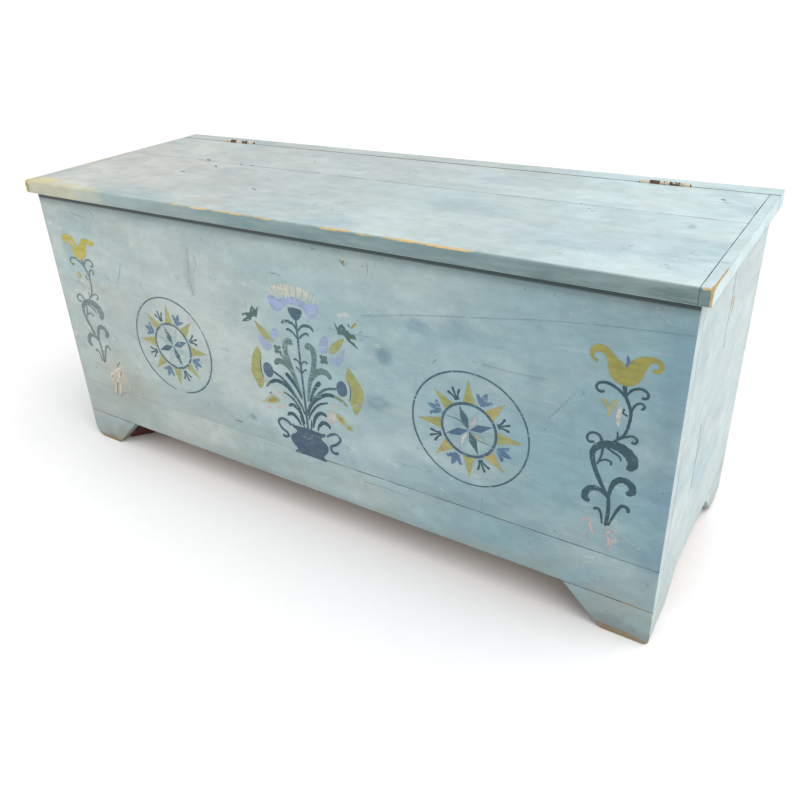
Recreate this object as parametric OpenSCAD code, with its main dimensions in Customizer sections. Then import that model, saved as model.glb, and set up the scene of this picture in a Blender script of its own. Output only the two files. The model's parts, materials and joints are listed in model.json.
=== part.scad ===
// Board blanket chest on bracket feet, with a hinged lid in front of a fixed back rail.
// The origin is on the floor, at the middle of the whole chest's footprint.
// +X runs along the width to the right, the front faces -Y and +Z is up.

/* [Case] */
// Width of the case over its end boards
case_w = 904; // [700:1:1200]
// Depth of the case over its front and back boards
case_d = 323; // [280:1:450]
// Height of the case from the floor to the underside of the lid
case_h = 402; // [330:1:520]
// Thickness of the front, back and end boards
board_t = 19; // [16:0.5:22]
// Thickness of the bottom boards
bottom_t = 16; // [12:0.5:20]
// Height of the joint between the lower and upper front boards
front_joint_z = 104; // [90:1:150]
// Height of the joint between the lower and upper back boards
back_joint_z = 225; // [160:1:260]

/* [Feet] */
// Height of the bracket feet, and of the case boards' lower edges
foot_h = 48; // [40:1:60]
// Length of a front or back bracket along its top edge
bracket_top_l = 101; // [85:1:130]
// Length of a front or back bracket along the floor
bracket_floor_l = 53; // [45:1:70]
// Worn rounding of the left front foot's outer corner
left_wear_r = 20; // [4:0.5:22]
// Worn rounding of the right front foot's outer corner
right_wear_r = 8; // [2:0.5:12]
// Distance from the case corner to a side bracket's inner top corner
side_reach = 94; // [80:1:110]
// Gap that wear has left between a front side bracket and the floor
front_side_gap = 12; // [0.5:0.5:14]
// Gap between a back side bracket and the floor
back_side_gap = 4; // [0.5:0.5:12]
// Width of a corner glue block along each wall
block_w = 68; // [55:1:75]

/* [Lid] */
// Thickness of the lid boards and the back rail
lid_t = 18; // [16:0.5:22]
// Overhang of the lid at each end of the case
end_overhang = 9; // [4:0.5:20]
// Overhang of the lid at the front of the case
front_overhang = 10; // [4:0.5:20]
// Overhang of the back rail behind the case
back_overhang = 4; // [0:0.5:10]
// Depth of the fixed back rail
rail_d = 27; // [24:0.5:40]
// Depth of the front lid board
lid_front_d = 192; // [150:1:220]
// Width of the strip across each end of the lid
strip_w = 11; // [9:0.5:20]
// Rounding of the lid's front edge
lid_round = 3.5; // [1:0.5:6]
// Gap between the lid and the back rail
seam_gap = 1.6; // [1.5:0.1:2.4]

/* [Hinges] */
// Length of each butt hinge
hinge_l = 58; // [50:1:80]
// Distance from each end of the lid to the middle of its hinge
hinge_inset = 126; // [80:1:160]
// Outer radius of the hinge knuckles
knuckle_r = 3; // [2.8:0.1:3.5]
// Radius of the hinge pin
pin_r = 1.6; // [1.2:0.1:1.8]
// Height of the hinge pin's axis above the top of the lid
axis_rise = 0.6; // [0.5:0.1:2]
// Angle that the lid is opened to
lid_angle = 0; // [0:1:180]

/* [Hidden] */
$fn = 48;
eps = 0.01;

// Places that follow from the driving sizes
lid_w = case_w + 2 * end_overhang;
total_d = front_overhang + case_d + back_overhang;
lid_front_y = -total_d / 2;
case_front_y = lid_front_y + front_overhang;
case_back_y = case_front_y + case_d;
rail_back_y = total_d / 2;
rail_front_y = rail_back_y - rail_d;
seam_y = rail_front_y - seam_gap / 2;
lid_back_y = rail_front_y - seam_gap;
lid_joint_y = lid_front_y + lid_front_d;
lid_inner_w = lid_w - 2 * strip_w;
top_z = case_h + lid_t;
axis_z = top_z + axis_rise;
hinge_x = lid_w / 2 - hinge_inset;
inner_w = case_w - 2 * board_t;
bottom_joint_y = (case_front_y + case_back_y) / 2;

// Tongue and groove joints
tongue_t = 6;
tongue_d = 6;

// Nails: a shank with a thin flat head let in flush
nail_r = 1.3;
nail_head_r = 2.6;
nail_head_t = 1.2;
nail_l = 48;
brad_l = 32;
nail_inset = board_t / 2;

// Points of the nails and screws
point_l = 4;
tip_r = 0.3;

// Hinge leaves and screws
leaf_t = 1.35;
leaf_gap = 0.3;
leaf_drop = 16;
knuckle_count = 5;
knuckle_gap = 0.3;
notch_clear = 0.3;
pin_clear = 0.05;
screw_r = 1.4;
screw_head_r = 2.75;
screw_l = 14;
screw_pitch = hinge_l / 3;
screw_drop = 9.5;
screw_stagger = 2;

wall_blue = "#a9c4cc";
side_blue = "#cddfe4";
lid_blue = "#bed0d8";
bare_wood = "#7a4b33";
iron = "#6b4a35";

// A board between two opposite corners
module board(low, high) {
    translate(low) cube(high - low);
}

// A rounding tool: the sliver outside a quarter circle at a lower-left corner
module corner_sliver(r) {
    difference() {
        translate([-1, -1]) square(r + 1);
        translate([r, r]) circle(r);
    }
}

// A nail whose head is flush with z = 0 and whose point is at z = -l
module nail(l) {
    translate([0, 0, -nail_head_t]) cylinder(r = nail_head_r, h = nail_head_t);
    translate([0, 0, point_l - l]) cylinder(r = nail_r, h = l - point_l - nail_head_t);
    translate([0, 0, -l]) cylinder(r1 = tip_r, r2 = nail_r, h = point_l);
}

// A wood screw whose countersunk head is flush with z = 0
module screw(l) {
    slot_w = 0.7;
    slot_d = 0.5;
    difference() {
        screw_bore(l);
        translate([-screw_head_r - 1, -slot_w / 2, -slot_d]) cube([2 * screw_head_r + 2, slot_w, slot_d + 1]);
    }
}

// The same screw without its slot, which bores the wood and the leaf
module screw_bore(l) {
    translate([0, 0, -leaf_t]) cylinder(r1 = screw_r, r2 = screw_head_r, h = leaf_t);
    translate([0, 0, point_l - l]) cylinder(r = screw_r, h = l - point_l - leaf_t);
    translate([0, 0, -l]) cylinder(r1 = tip_r, r2 = screw_r, h = point_l);
}

// Turns the lid's pieces about the hinge pins
module swing() {
    translate([0, seam_y, axis_z]) rotate([-lid_angle, 0, 0]) translate([0, -seam_y, -axis_z]) children();
}

// ---- Nails -------------------------------------------------------------

// Nails through the front or back board into the end boards' edges.
// side is -1 for the front and 1 for the back.
module wall_nails(side) {
    face_y = side < 0 ? case_front_y : case_back_y;
    for (end = [-1, 1])
        for (z = [foot_h + 34, front_joint_z + 40, case_h / 2 + 38, case_h - 70, case_h - 18])
            translate([end * (case_w / 2 - nail_inset), face_y, z])
                rotate([side * -90, 0, 0]) nail(nail_l);
}

// Nails through the four walls into the bottom boards' edges
module wall_to_bottom_nails() {
    z = foot_h + bottom_t / 2;
    for (side = [-1, 1])
        for (x = [-0.36, -0.12, 0.12, 0.36] * case_w)
            translate([x, side < 0 ? case_front_y : case_back_y, z])
                rotate([side * -90, 0, 0]) nail(nail_l);
    for (end = [-1, 1])
        for (y = [-0.24, 0.24] * case_d)
            translate([end * case_w / 2, bottom_joint_y + y, z])
                rotate([0, end * 90, 0]) nail(nail_l);
}

// Nails through the brackets into the glue blocks
module bracket_nails() {
    z = foot_h * 0.6;
    for (side = [-1, 1])
        for (end = [-1, 1])
            for (inset = [board_t + 12, board_t + 28])
                translate([end * (case_w / 2 - inset), side < 0 ? case_front_y : case_back_y, z])
                    rotate([side * -90, 0, 0]) nail(brad_l);
    for (side = [-1, 1])
        for (end = [-1, 1])
            translate([end * case_w / 2, bottom_joint_y + side * (case_d / 2 - board_t - 20), z])
                rotate([0, end * 90, 0]) nail(brad_l);
}

// Nails down through the rail into the back board and the end boards
module rail_fixings() {
    for (x = [-0.47, -0.28, -0.1, 0.1, 0.28, 0.47] * case_w)
        translate([x, case_back_y - board_t / 2, top_z]) nail(nail_l);
}

// Nails through the end strips into the end grain of the lid boards
module strip_fixings() {
    for (end = [-1, 1])
        for (y = [22, 84, 146, lid_front_d + 32, lid_front_d + 88])
            translate([end * lid_w / 2, lid_front_y + y, case_h + lid_t / 2])
                rotate([0, end * 90, 0]) nail(brad_l);
}

module front_nails() {
    color(iron) wall_nails(-1);
}

module back_nails() {
    color(iron) wall_nails(1);
}

module bottom_nails() {
    color(iron) wall_to_bottom_nails();
}

module foot_nails() {
    color(iron) bracket_nails();
}

module rail_nails() {
    color(iron) rail_fixings();
}

module lid_strip_nails() {
    color(iron) swing() strip_fixings();
}

// ---- Case boards -------------------------------------------------------

// An upper wall board with a groove in its lower edge
module upper_wall(front_y, joint_z, side) {
    tongue_y = front_y + (board_t - tongue_t) / 2;
    difference() {
        board([-case_w / 2, front_y, joint_z], [case_w / 2, front_y + board_t, case_h]);
        board([-case_w / 2 - 1, tongue_y, joint_z - 1],
              [case_w / 2 + 1, tongue_y + tongue_t, joint_z + tongue_d]);
        wall_nails(side);
    }
}

// A lower wall board with a tongue on its upper edge
module lower_wall(front_y, joint_z, side) {
    tongue_y = front_y + (board_t - tongue_t) / 2;
    difference() {
        union() {
            board([-case_w / 2, front_y, foot_h], [case_w / 2, front_y + board_t, joint_z]);
            board([-case_w / 2, tongue_y, joint_z - eps],
                  [case_w / 2, tongue_y + tongue_t, joint_z + tongue_d]);
        }
        wall_nails(side);
        wall_to_bottom_nails();
    }
}

module front_upper_board() {
    color(wall_blue) upper_wall(case_front_y, front_joint_z, -1);
}

module front_lower_board() {
    color(wall_blue) lower_wall(case_front_y, front_joint_z, -1);
}

module back_upper_board() {
    color(wall_blue)
        difference() {
            upper_wall(case_back_y - board_t, back_joint_z, 1);
            rail_fixings();
        }
}

module back_lower_board() {
    color(wall_blue) lower_wall(case_back_y - board_t, back_joint_z, 1);
}

// An end board between the front and back boards. end is -1 for the left and 1 for the right.
module end_board(end) {
    middle_x = end * (case_w - board_t) / 2;
    difference() {
        board([middle_x - board_t / 2, case_front_y + board_t, foot_h],
              [middle_x + board_t / 2, case_back_y - board_t, case_h]);
        wall_nails(-1);
        wall_nails(1);
        wall_to_bottom_nails();
    }
}

module left_end_board() {
    color(side_blue) end_board(-1);
}

module right_end_board() {
    color(side_blue) end_board(1);
}

// A bottom board between two depths, inside the walls
module bottom_board(y0, y1) {
    difference() {
        board([-inner_w / 2, y0, foot_h], [inner_w / 2, y1, foot_h + bottom_t]);
        wall_to_bottom_nails();
    }
}

module bottom_front_board() {
    color(bare_wood) bottom_board(case_front_y + board_t, bottom_joint_y);
}

module bottom_rear_board() {
    color(bare_wood) bottom_board(bottom_joint_y, case_back_y - board_t);
}

// ---- Feet --------------------------------------------------------------

// A bracket foot along the front or back, seen with its outer corner at the origin
module bracket_profile(wear_r) {
    difference() {
        polygon([[0, 0], [bracket_floor_l, 0], [bracket_top_l, foot_h], [0, foot_h]]);
        corner_sliver(wear_r);
    }
}

// end is -1 for the left and 1 for the right; side is -1 for the front and 1 for the back
module bracket(end, side, wear_r) {
    back_y = side < 0 ? case_front_y + board_t : case_back_y;
    difference() {
        translate([end * case_w / 2, back_y, 0])
            mirror([end > 0 ? 1 : 0, 0, 0])
                rotate([90, 0, 0]) linear_extrude(board_t) bracket_profile(wear_r);
        bracket_nails();
    }
}

module foot_front_left() {
    color(wall_blue) bracket(-1, -1, left_wear_r);
}

module foot_front_right() {
    color(wall_blue) bracket(1, -1, right_wear_r);
}

module foot_back_left() {
    color(wall_blue) bracket(-1, 1, right_wear_r);
}

module foot_back_right() {
    color(wall_blue) bracket(1, 1, right_wear_r);
}

// A bracket foot along an end, butted against a front or back bracket
module side_bracket(end, side, floor_gap) {
    corner_y = side < 0 ? case_front_y : case_back_y;
    slope_l = bracket_top_l - bracket_floor_l;
    floor_l = side_reach - slope_l * (foot_h - floor_gap) / foot_h;
    outline = [[board_t, floor_gap], [floor_l, floor_gap], [side_reach, foot_h], [board_t, foot_h]];
    difference() {
        translate([end < 0 ? -case_w / 2 : case_w / 2 - board_t, corner_y, 0])
            mirror([0, side > 0 ? 1 : 0, 0])
                rotate([90, 0, 90]) linear_extrude(board_t) polygon(outline);
        bracket_nails();
    }
}

module side_foot_front_left() {
    color(side_blue) side_bracket(-1, -1, front_side_gap);
}

module side_foot_front_right() {
    color(side_blue) side_bracket(1, -1, front_side_gap);
}

module side_foot_back_left() {
    color(side_blue) side_bracket(-1, 1, back_side_gap);
}

module side_foot_back_right() {
    color(side_blue) side_bracket(1, 1, back_side_gap);
}

// A block in the corner behind two brackets, sawn off at a slant where their slopes would show it
module glue_block(end, side) {
    floor_gap = 1;
    flat_w = block_w * 0.6;
    cut_d = block_w / 2;
    outline = [[0, 0], [flat_w, 0], [block_w, cut_d], [block_w, block_w], [cut_d, block_w], [0, flat_w]];
    corner_y = side < 0 ? case_front_y + board_t : case_back_y - board_t;
    difference() {
        translate([end * inner_w / 2, corner_y, floor_gap])
            mirror([end > 0 ? 1 : 0, 0, 0])
                mirror([0, side > 0 ? 1 : 0, 0])
                    linear_extrude(foot_h - floor_gap) polygon(outline);
        bracket_nails();
    }
}

module glue_block_front_left() {
    color(bare_wood) glue_block(-1, -1);
}

module glue_block_front_right() {
    color(bare_wood) glue_block(1, -1);
}

module glue_block_back_left() {
    color(bare_wood) glue_block(-1, 1);
}

module glue_block_back_right() {
    color(bare_wood) glue_block(1, 1);
}

// ---- Hinges ------------------------------------------------------------
// A hinge is made with its pin along X through the origin. side is 1 for the fixed leaf,
// which hangs behind the seam, and -1 for the moving leaf in front of it.

function knuckle_x(k) = (k - knuckle_count / 2) * hinge_l / knuckle_count;

// True for the knuckles that belong to the leaf on this side
function owns(k, side) = (k % 2 == 0) == (side > 0);

module leaf_plate(z0, z1, x0, x1, side) {
    y0 = side > 0 ? leaf_gap : -leaf_gap - leaf_t;
    board([x0, y0, z0], [x1, y0 + leaf_t, z1]);
}

// Places a leaf's screws, with their heads flush with its inner face
module at_screws(side) {
    for (i = [-1, 0, 1])
        translate([i * screw_pitch, side * leaf_gap, -screw_drop - (i == 0 ? screw_stagger : 0)])
            rotate([side * 90, 0, 0]) children();
}

module leaf(side) {
    knuckle_l = hinge_l / knuckle_count - knuckle_gap;
    bore_r = side > 0 ? pin_r : pin_r + pin_clear;
    difference() {
        union() {
            leaf_plate(-leaf_drop, -knuckle_r - notch_clear, -hinge_l / 2, hinge_l / 2, side);
            for (k = [0 : knuckle_count - 1])
                if (owns(k, side)) {
                    x0 = knuckle_x(k) + knuckle_gap / 2;
                    translate([x0, 0, 0]) rotate([0, 90, 0]) cylinder(r = knuckle_r, h = knuckle_l);
                    leaf_plate(-knuckle_r - notch_clear - eps, -pin_r, x0, x0 + knuckle_l, side);
                }
        }
        translate([-hinge_l / 2 - 1, 0, 0]) rotate([0, 90, 0]) cylinder(r = bore_r, h = hinge_l + 2);
        at_screws(side) screw_bore(screw_l);
    }
}

module pin() {
    button_t = 0.8;
    translate([-hinge_l / 2, 0, 0]) rotate([0, 90, 0]) cylinder(r = pin_r, h = hinge_l);
    for (end = [-1, 1])
        translate([end * hinge_l / 2, 0, 0])
            rotate([0, end * 90, 0]) cylinder(r1 = pin_r + 0.5, r2 = pin_r - 0.2, h = button_t);
}

// The room that a hinge takes out of the rail or the lid: a mortise for the leaf, and a notch
// for the barrel
module hinge_room(side) {
    end_room = 1.2;
    back_y = leaf_gap + leaf_t;
    translate([-hinge_l / 2 - end_room, 0, 0])
        rotate([0, 90, 0]) cylinder(r = knuckle_r + notch_clear, h = hinge_l + 2 * end_room);
    board([-hinge_l / 2 - eps, side > 0 ? 0 : -back_y, -leaf_drop],
          [hinge_l / 2 + eps, side > 0 ? back_y : 0, 0]);
    at_screws(side) screw_bore(screw_l);
}

// Places something at the left hinge, -1, or the right hinge, 1
module at_hinge(end) {
    translate([end * hinge_x, seam_y, axis_z]) children();
}

module at_hinges() {
    for (end = [-1, 1])
        at_hinge(end) children();
}

module left_hinge_fixed_leaf() {
    color(iron) at_hinge(-1) leaf(1);
}

module right_hinge_fixed_leaf() {
    color(iron) at_hinge(1) leaf(1);
}

module left_hinge_moving_leaf() {
    color(iron) swing() at_hinge(-1) leaf(-1);
}

module right_hinge_moving_leaf() {
    color(iron) swing() at_hinge(1) leaf(-1);
}

module left_hinge_pin() {
    color(iron) at_hinge(-1) pin();
}

module right_hinge_pin() {
    color(iron) at_hinge(1) pin();
}

module left_hinge_rail_screws() {
    color(iron) at_hinge(-1) at_screws(1) screw(screw_l);
}

module right_hinge_rail_screws() {
    color(iron) at_hinge(1) at_screws(1) screw(screw_l);
}

module left_hinge_lid_screws() {
    color(iron) swing() at_hinge(-1) at_screws(-1) screw(screw_l);
}

module right_hinge_lid_screws() {
    color(iron) swing() at_hinge(1) at_screws(-1) screw(screw_l);
}

// ---- Rail and lid ------------------------------------------------------

module back_rail() {
    color(lid_blue)
        difference() {
            board([-lid_w / 2, rail_front_y, case_h], [lid_w / 2, rail_back_y, top_z]);
            at_hinges() hinge_room(1);
            rail_fixings();
        }
}

// Section of the lid's front edge, with depth along x and height along y
module lid_section(d) {
    difference() {
        square([d, lid_t]);
        corner_sliver(lid_round);
        translate([0, lid_t]) mirror([0, 1]) corner_sliver(lid_round);
    }
}

// A length of the lid that starts at the front edge
module lid_bar(x0, x1, d) {
    translate([x0, lid_front_y, case_h])
        rotate([90, 0, 90]) linear_extrude(x1 - x0) lid_section(d);
}

module lid_front_board() {
    groove_z = case_h + (lid_t - tongue_t) / 2;
    color(lid_blue) swing()
        difference() {
            lid_bar(-lid_inner_w / 2, lid_inner_w / 2, lid_front_d);
            board([-lid_w / 2, lid_joint_y - tongue_d, groove_z],
                  [lid_w / 2, lid_joint_y + 1, groove_z + tongue_t]);
            strip_fixings();
        }
}

module lid_rear_board() {
    tongue_z = case_h + (lid_t - tongue_t) / 2;
    color(lid_blue) swing()
        difference() {
            union() {
                board([-lid_inner_w / 2, lid_joint_y, case_h], [lid_inner_w / 2, lid_back_y, top_z]);
                board([-lid_inner_w / 2, lid_joint_y - tongue_d, tongue_z],
                      [lid_inner_w / 2, lid_joint_y + eps, tongue_z + tongue_t]);
            }
            at_hinges() hinge_room(-1);
            strip_fixings();
        }
}

// The strip across an end of the lid
module strip(end) {
    x0 = end < 0 ? -lid_w / 2 : lid_inner_w / 2;
    difference() {
        lid_bar(x0, x0 + strip_w, lid_back_y - lid_front_y);
        strip_fixings();
    }
}

module lid_left_strip() {
    color(lid_blue) swing() strip(-1);
}

module lid_right_strip() {
    color(lid_blue) swing() strip(1);
}

front_upper_board();
front_lower_board();
left_end_board();
right_end_board();
back_upper_board();
back_lower_board();
bottom_front_board();
bottom_rear_board();
foot_front_left();
foot_front_right();
foot_back_left();
foot_back_right();
side_foot_front_left();
side_foot_front_right();
side_foot_back_left();
side_foot_back_right();
glue_block_front_left();
glue_block_front_right();
glue_block_back_left();
glue_block_back_right();
back_rail();
front_nails();
back_nails();
bottom_nails();
foot_nails();
rail_nails();
left_hinge_fixed_leaf();
right_hinge_fixed_leaf();
left_hinge_pin();
right_hinge_pin();
left_hinge_rail_screws();
right_hinge_rail_screws();
lid_front_board();
lid_rear_board();
lid_left_strip();
lid_right_strip();
lid_strip_nails();
left_hinge_moving_leaf();
right_hinge_moving_leaf();
left_hinge_lid_screws();
right_hinge_lid_screws();
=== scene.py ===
import json
import math

import bmesh
import bpy
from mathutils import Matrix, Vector, noise

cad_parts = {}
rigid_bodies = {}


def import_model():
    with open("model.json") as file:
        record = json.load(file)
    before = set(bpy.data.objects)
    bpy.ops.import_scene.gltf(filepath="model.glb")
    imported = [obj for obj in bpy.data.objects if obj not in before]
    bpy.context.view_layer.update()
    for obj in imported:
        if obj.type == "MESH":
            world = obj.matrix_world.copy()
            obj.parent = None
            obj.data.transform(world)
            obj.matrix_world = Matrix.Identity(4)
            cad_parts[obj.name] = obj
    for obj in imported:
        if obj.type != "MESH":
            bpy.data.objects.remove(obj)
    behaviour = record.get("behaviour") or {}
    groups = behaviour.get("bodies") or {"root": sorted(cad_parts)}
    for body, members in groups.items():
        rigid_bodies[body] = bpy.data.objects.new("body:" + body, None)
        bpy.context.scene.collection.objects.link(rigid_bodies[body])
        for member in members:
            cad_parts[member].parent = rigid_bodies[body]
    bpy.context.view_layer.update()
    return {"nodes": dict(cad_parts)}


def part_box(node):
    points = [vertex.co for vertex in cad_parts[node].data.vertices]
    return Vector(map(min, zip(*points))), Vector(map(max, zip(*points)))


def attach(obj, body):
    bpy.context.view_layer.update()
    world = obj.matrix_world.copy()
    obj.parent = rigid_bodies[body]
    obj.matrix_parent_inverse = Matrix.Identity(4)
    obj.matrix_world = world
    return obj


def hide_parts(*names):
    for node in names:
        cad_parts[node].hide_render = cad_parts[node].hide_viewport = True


# The start-up scene's own cube, lamp and camera go before the frame is loaded.
for leftover in list(bpy.data.objects):
    bpy.data.objects.remove(leftover)

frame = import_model()

MM = 0.001
# The chest, from the CAD frame.
FRONT_LOW, FRONT_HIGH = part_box("front_upper_board")
FACE_Y = FRONT_LOW.y
LID_LOW, LID_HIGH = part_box("lid_front_board")
STRIP_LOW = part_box("lid_left_strip")[0]
BACK_JOINT_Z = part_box("back_upper_board")[0].z


def front_spot(x, z):
    """A point on the front, from millimetres along it and up from the floor."""
    return (FRONT_LOW.x + x * MM, FACE_Y, z * MM)


def lid_spot(x, y):
    """A point on the lid's top, from millimetres from its left end and front edge."""
    return (STRIP_LOW.x + x * MM, STRIP_LOW.y + y * MM, LID_HIGH.z)


# ---------------------------------------------------------------- nodes

class Nodes:
    """Builds nodes in one tree. Lengths are in metres, and the grain runs along axis."""

    def __init__(self, tree, axis):
        self.tree = tree
        self.axis = axis
        self.place = self.new("TexCoord").outputs["Object"]
        self.x, self.y, self.z = self.split(self.place)

    def new(self, kind):
        return self.tree.nodes.new("ShaderNode" + kind)

    def plug(self, value, socket):
        """Links a socket, or sets a plain value."""
        if isinstance(value, bpy.types.NodeSocket):
            self.tree.links.new(value, socket)
        elif isinstance(value, tuple) and socket.type == "RGBA":
            socket.default_value = value + (1.0,)
        else:
            socket.default_value = value

    def calc(self, operation, *values, kind="Math"):
        node = self.new(kind)
        node.operation = operation
        for value, socket in zip(values, node.inputs):
            self.plug(value, socket)
        return node.outputs[0]

    def vector(self, operation, a, b):
        return self.calc(operation, a, b, kind="VectorMath")

    def add(self, a, b):
        return self.calc("ADD", a, b)

    def minus(self, a, b):
        return self.calc("SUBTRACT", a, b)

    def times(self, *values):
        product = values[0]
        for value in values[1:]:
            product = self.calc("MULTIPLY", product, value)
        return product

    def split(self, vector):
        node = self.new("SeparateXYZ")
        self.plug(vector, node.inputs[0])
        return node.outputs

    def mix(self, factor, a, b, blend="MIX"):
        node = self.new("Mix")
        node.data_type = "RGBA"
        node.blend_type = blend
        for value, index in ((factor, 0), (a, 6), (b, 7)):
            self.plug(value, node.inputs[index])
        return node.outputs[2]

    def fit(self, value, low, high, to_low=0.0, to_high=1.0, smooth=True):
        """Carries low..high over to to_low..to_high, clamped."""
        node = self.new("MapRange")
        node.interpolation_type = "SMOOTHSTEP" if smooth else "LINEAR"
        for number, name in ((value, "Value"), (low, "From Min"), (high, "From Max"),
                             (to_low, "To Min"), (to_high, "To Max")):
            self.plug(number, node.inputs[name])
        return node.outputs[0]

    def noise(self, scale, detail=3, shift=0, roughness=0.55):
        """Noise of one scale, or of (along the grain, across it), or of a scale for each axis."""
        if not isinstance(scale, tuple):
            scale = (scale, scale, scale)
        if len(scale) == 2:
            scale = tuple(scale[0] if name == self.axis else scale[1] for name in "xyz")
        drawn_out = self.vector("MULTIPLY", self.place, scale)
        node = self.new("TexNoise")
        node.inputs["Scale"].default_value = 1.0
        node.inputs["Detail"].default_value = detail
        node.inputs["Roughness"].default_value = roughness
        self.plug(self.vector("ADD", drawn_out, (shift, shift * 0.7, shift * 1.3)), node.inputs["Vector"])
        return node.outputs["Fac"]

    def grey(self, value, low, high, dark, light):
        """A grey made from a value, for multiplying a colour by."""
        node = self.new("CombineColor")
        level = self.fit(value, low, high, dark, light, False)
        for socket in node.inputs:
            self.plug(level, socket)
        return node.outputs[0]

    def inside(self, low, high):
        """How far the place is inside a box, along each axis. Attributes hold the box's corners."""
        corners = []
        for name in (low, high):
            node = self.new("Attribute")
            node.attribute_name = name
            corners.append(node.outputs["Vector"])
        above = self.vector("SUBTRACT", self.place, corners[0])
        below = self.vector("SUBTRACT", corners[1], self.place)
        return self.split(self.vector("MINIMUM", above, below))

    def joint_distance(self):
        """Distance from a point on a board to the nearest plane where it meets another piece."""
        x, y, z = self.inside("joint_low", "joint_high")
        return self.calc("ABSOLUTE", self.calc("MINIMUM", self.calc("MINIMUM", x, y), z))

    def edge_distance(self):
        """Distance from a point on a board to the board's nearest edge: the middle one of three."""
        x, y, z = self.inside("low", "high")
        greater = self.calc("MAXIMUM", x, y)
        return self.calc("MAXIMUM", self.calc("MINIMUM", x, y), self.calc("MINIMUM", greater, z))

    def stain_and_shade(self, colour, ragged, centre, radius, tint, strength):
        """A stain of another colour round a point, with a ragged border; one of them, at the front's left
        foot, is partly painted shade.
        """
        node = self.new("VectorMath")
        node.operation = "LENGTH"
        offset = self.vector("SUBTRACT", self.place, centre)
        self.plug(self.vector("MULTIPLY", offset, tuple(1.0 / size for size in radius)), node.inputs[0])
        reach = self.add(node.outputs["Value"], self.fit(ragged, 0.3, 0.7, -0.45, 0.45, False))
        return self.mix(self.fit(reach, 0.25, 1.05, strength, 0), colour, tint)

    def paint(self, tone, axis):
        """The old paint's group node."""
        if (tone, axis) not in PAINTS:
            PAINTS[tone, axis] = paint_group(tone, axis)
        node = self.new("Group")
        node.node_tree = PAINTS[tone, axis]
        return node.outputs

    def wood(self, dark, light):
        """Growth rings drawn out along the board: their colour and their height."""
        rings = self.add(self.times(self.noise((3, 120), 4, 9, 0.6), 0.6),
                         self.times(self.noise((1.4, 24), 3, 19, 0.5), 0.4))
        return self.mix(self.fit(rings, 0.36, 0.62), dark, light), rings


class Material(Nodes):
    """A material with a Principled shader. depth is its bump's height in metres."""

    def __init__(self, name, axis="x", depth=0.0003):
        self.material = bpy.data.materials.new(name)
        self.material.use_nodes = True
        super().__init__(self.material.node_tree, axis)
        self.shader = self.tree.nodes["Principled BSDF"]
        self.shader.inputs["Specular IOR Level"].default_value = 0.35
        self.depth = depth

    def finish(self, colour, rough, height, bumpiness=1.0):
        bump = self.new("Bump")
        bump.inputs["Distance"].default_value = self.depth
        bump.inputs["Strength"].default_value = bumpiness
        self.plug(height, bump.inputs["Height"])
        self.plug(colour, self.shader.inputs["Base Color"])
        self.plug(rough, self.shader.inputs["Roughness"])
        self.plug(bump.outputs["Normal"], self.shader.inputs["Normal"])
        return self.material


# ---------------------------------------------------------------- paint

PAINTS = {}
# Paint colours at the left end, the middle and the right end of each surface.
TONES = {
    "front": ((0.335, 0.395, 0.380), (0.315, 0.425, 0.440), (0.215, 0.340, 0.378)),
    "lid": ((0.450, 0.465, 0.440), (0.405, 0.475, 0.475), (0.505, 0.630, 0.655)),
    "end": ((0.400, 0.480, 0.480), (0.410, 0.490, 0.490), (0.425, 0.500, 0.510)),
    "back": ((0.340, 0.430, 0.430), (0.320, 0.435, 0.450), (0.310, 0.430, 0.460)),
}
SPECKS = {"front": 0.13, "lid": 0.05, "end": 0.08, "back": 0.12}
GRIME = {"front": 0.70, "lid": 0.0, "end": 0.40, "back": 0.90}
# Stains on the front, one of them partly painted shade: x, z, radius along x and z in millimetres, colour and
# strength.
FRONT_STAINS_AND_SHADE = (
    (250, 300, 190, 120, (0.47, 0.52, 0.5), 0.42),
    (330, 190, 80, 90, (0.47, 0.53, 0.51), 0.3),
    (640, 265, 130, 80, (0.185, 0.32, 0.375), 0.42),
    (790, 240, 130, 170, (0.185, 0.31, 0.365), 0.34),
    (500, 230, 90, 120, (0.25, 0.39, 0.43), 0.34),
    (600, 150, 75, 50, (0.36, 0.47, 0.49), 0.42),
    (640, 372, 110, 30, (0.36, 0.43, 0.43), 0.4),
    (420, 378, 160, 26, (0.37, 0.45, 0.44), 0.38),
    (105, 120, 80, 70, (0.31, 0.32, 0.275), 0.55),
    (86, 126, 26, 36, (0.46, 0.42, 0.34), 0.55),
    (282, 325, 12, 50, (0.25, 0.33, 0.31), 0.42),
    (38, 330, 16, 60, (0.22, 0.31, 0.33), 0.45),
    (610, 120, 200, 35, (0.215, 0.33, 0.375), 0.4),
    # Dirt at the bottom of the left foot, made darker as painted shade.
    (55, 8, 100, 36, (0.2, 0.22, 0.2), 0.8),
    (880, 10, 80, 16, (0.17, 0.18, 0.165), 0.62),
    (862, 30, 60, 34, (0.19, 0.26, 0.265), 0.45),
    (440, 50, 300, 10, (0.24, 0.32, 0.33), 0.4),
    (270, 85, 100, 30, (0.44, 0.47, 0.44), 0.45),
    (85, 382, 70, 20, (0.26, 0.34, 0.34), 0.5),
    (200, 388, 90, 14, (0.26, 0.35, 0.36), 0.36),
    (575, 276, 15, 13, (0.13, 0.22, 0.27), 0.72),
    (566, 214, 26, 14, (0.15, 0.24, 0.285), 0.6),
    (618, 323, 18, 10, (0.15, 0.25, 0.3), 0.6),
    (690, 326, 60, 16, (0.18, 0.3, 0.35), 0.45),
    (360, 135, 8, 7, (0.15, 0.2, 0.21), 0.6),
    (420, 335, 20, 12, (0.3, 0.4, 0.4), 0.4),
    (895, 230, 26, 230, (0.13, 0.24, 0.31), 0.5),
)
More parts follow.
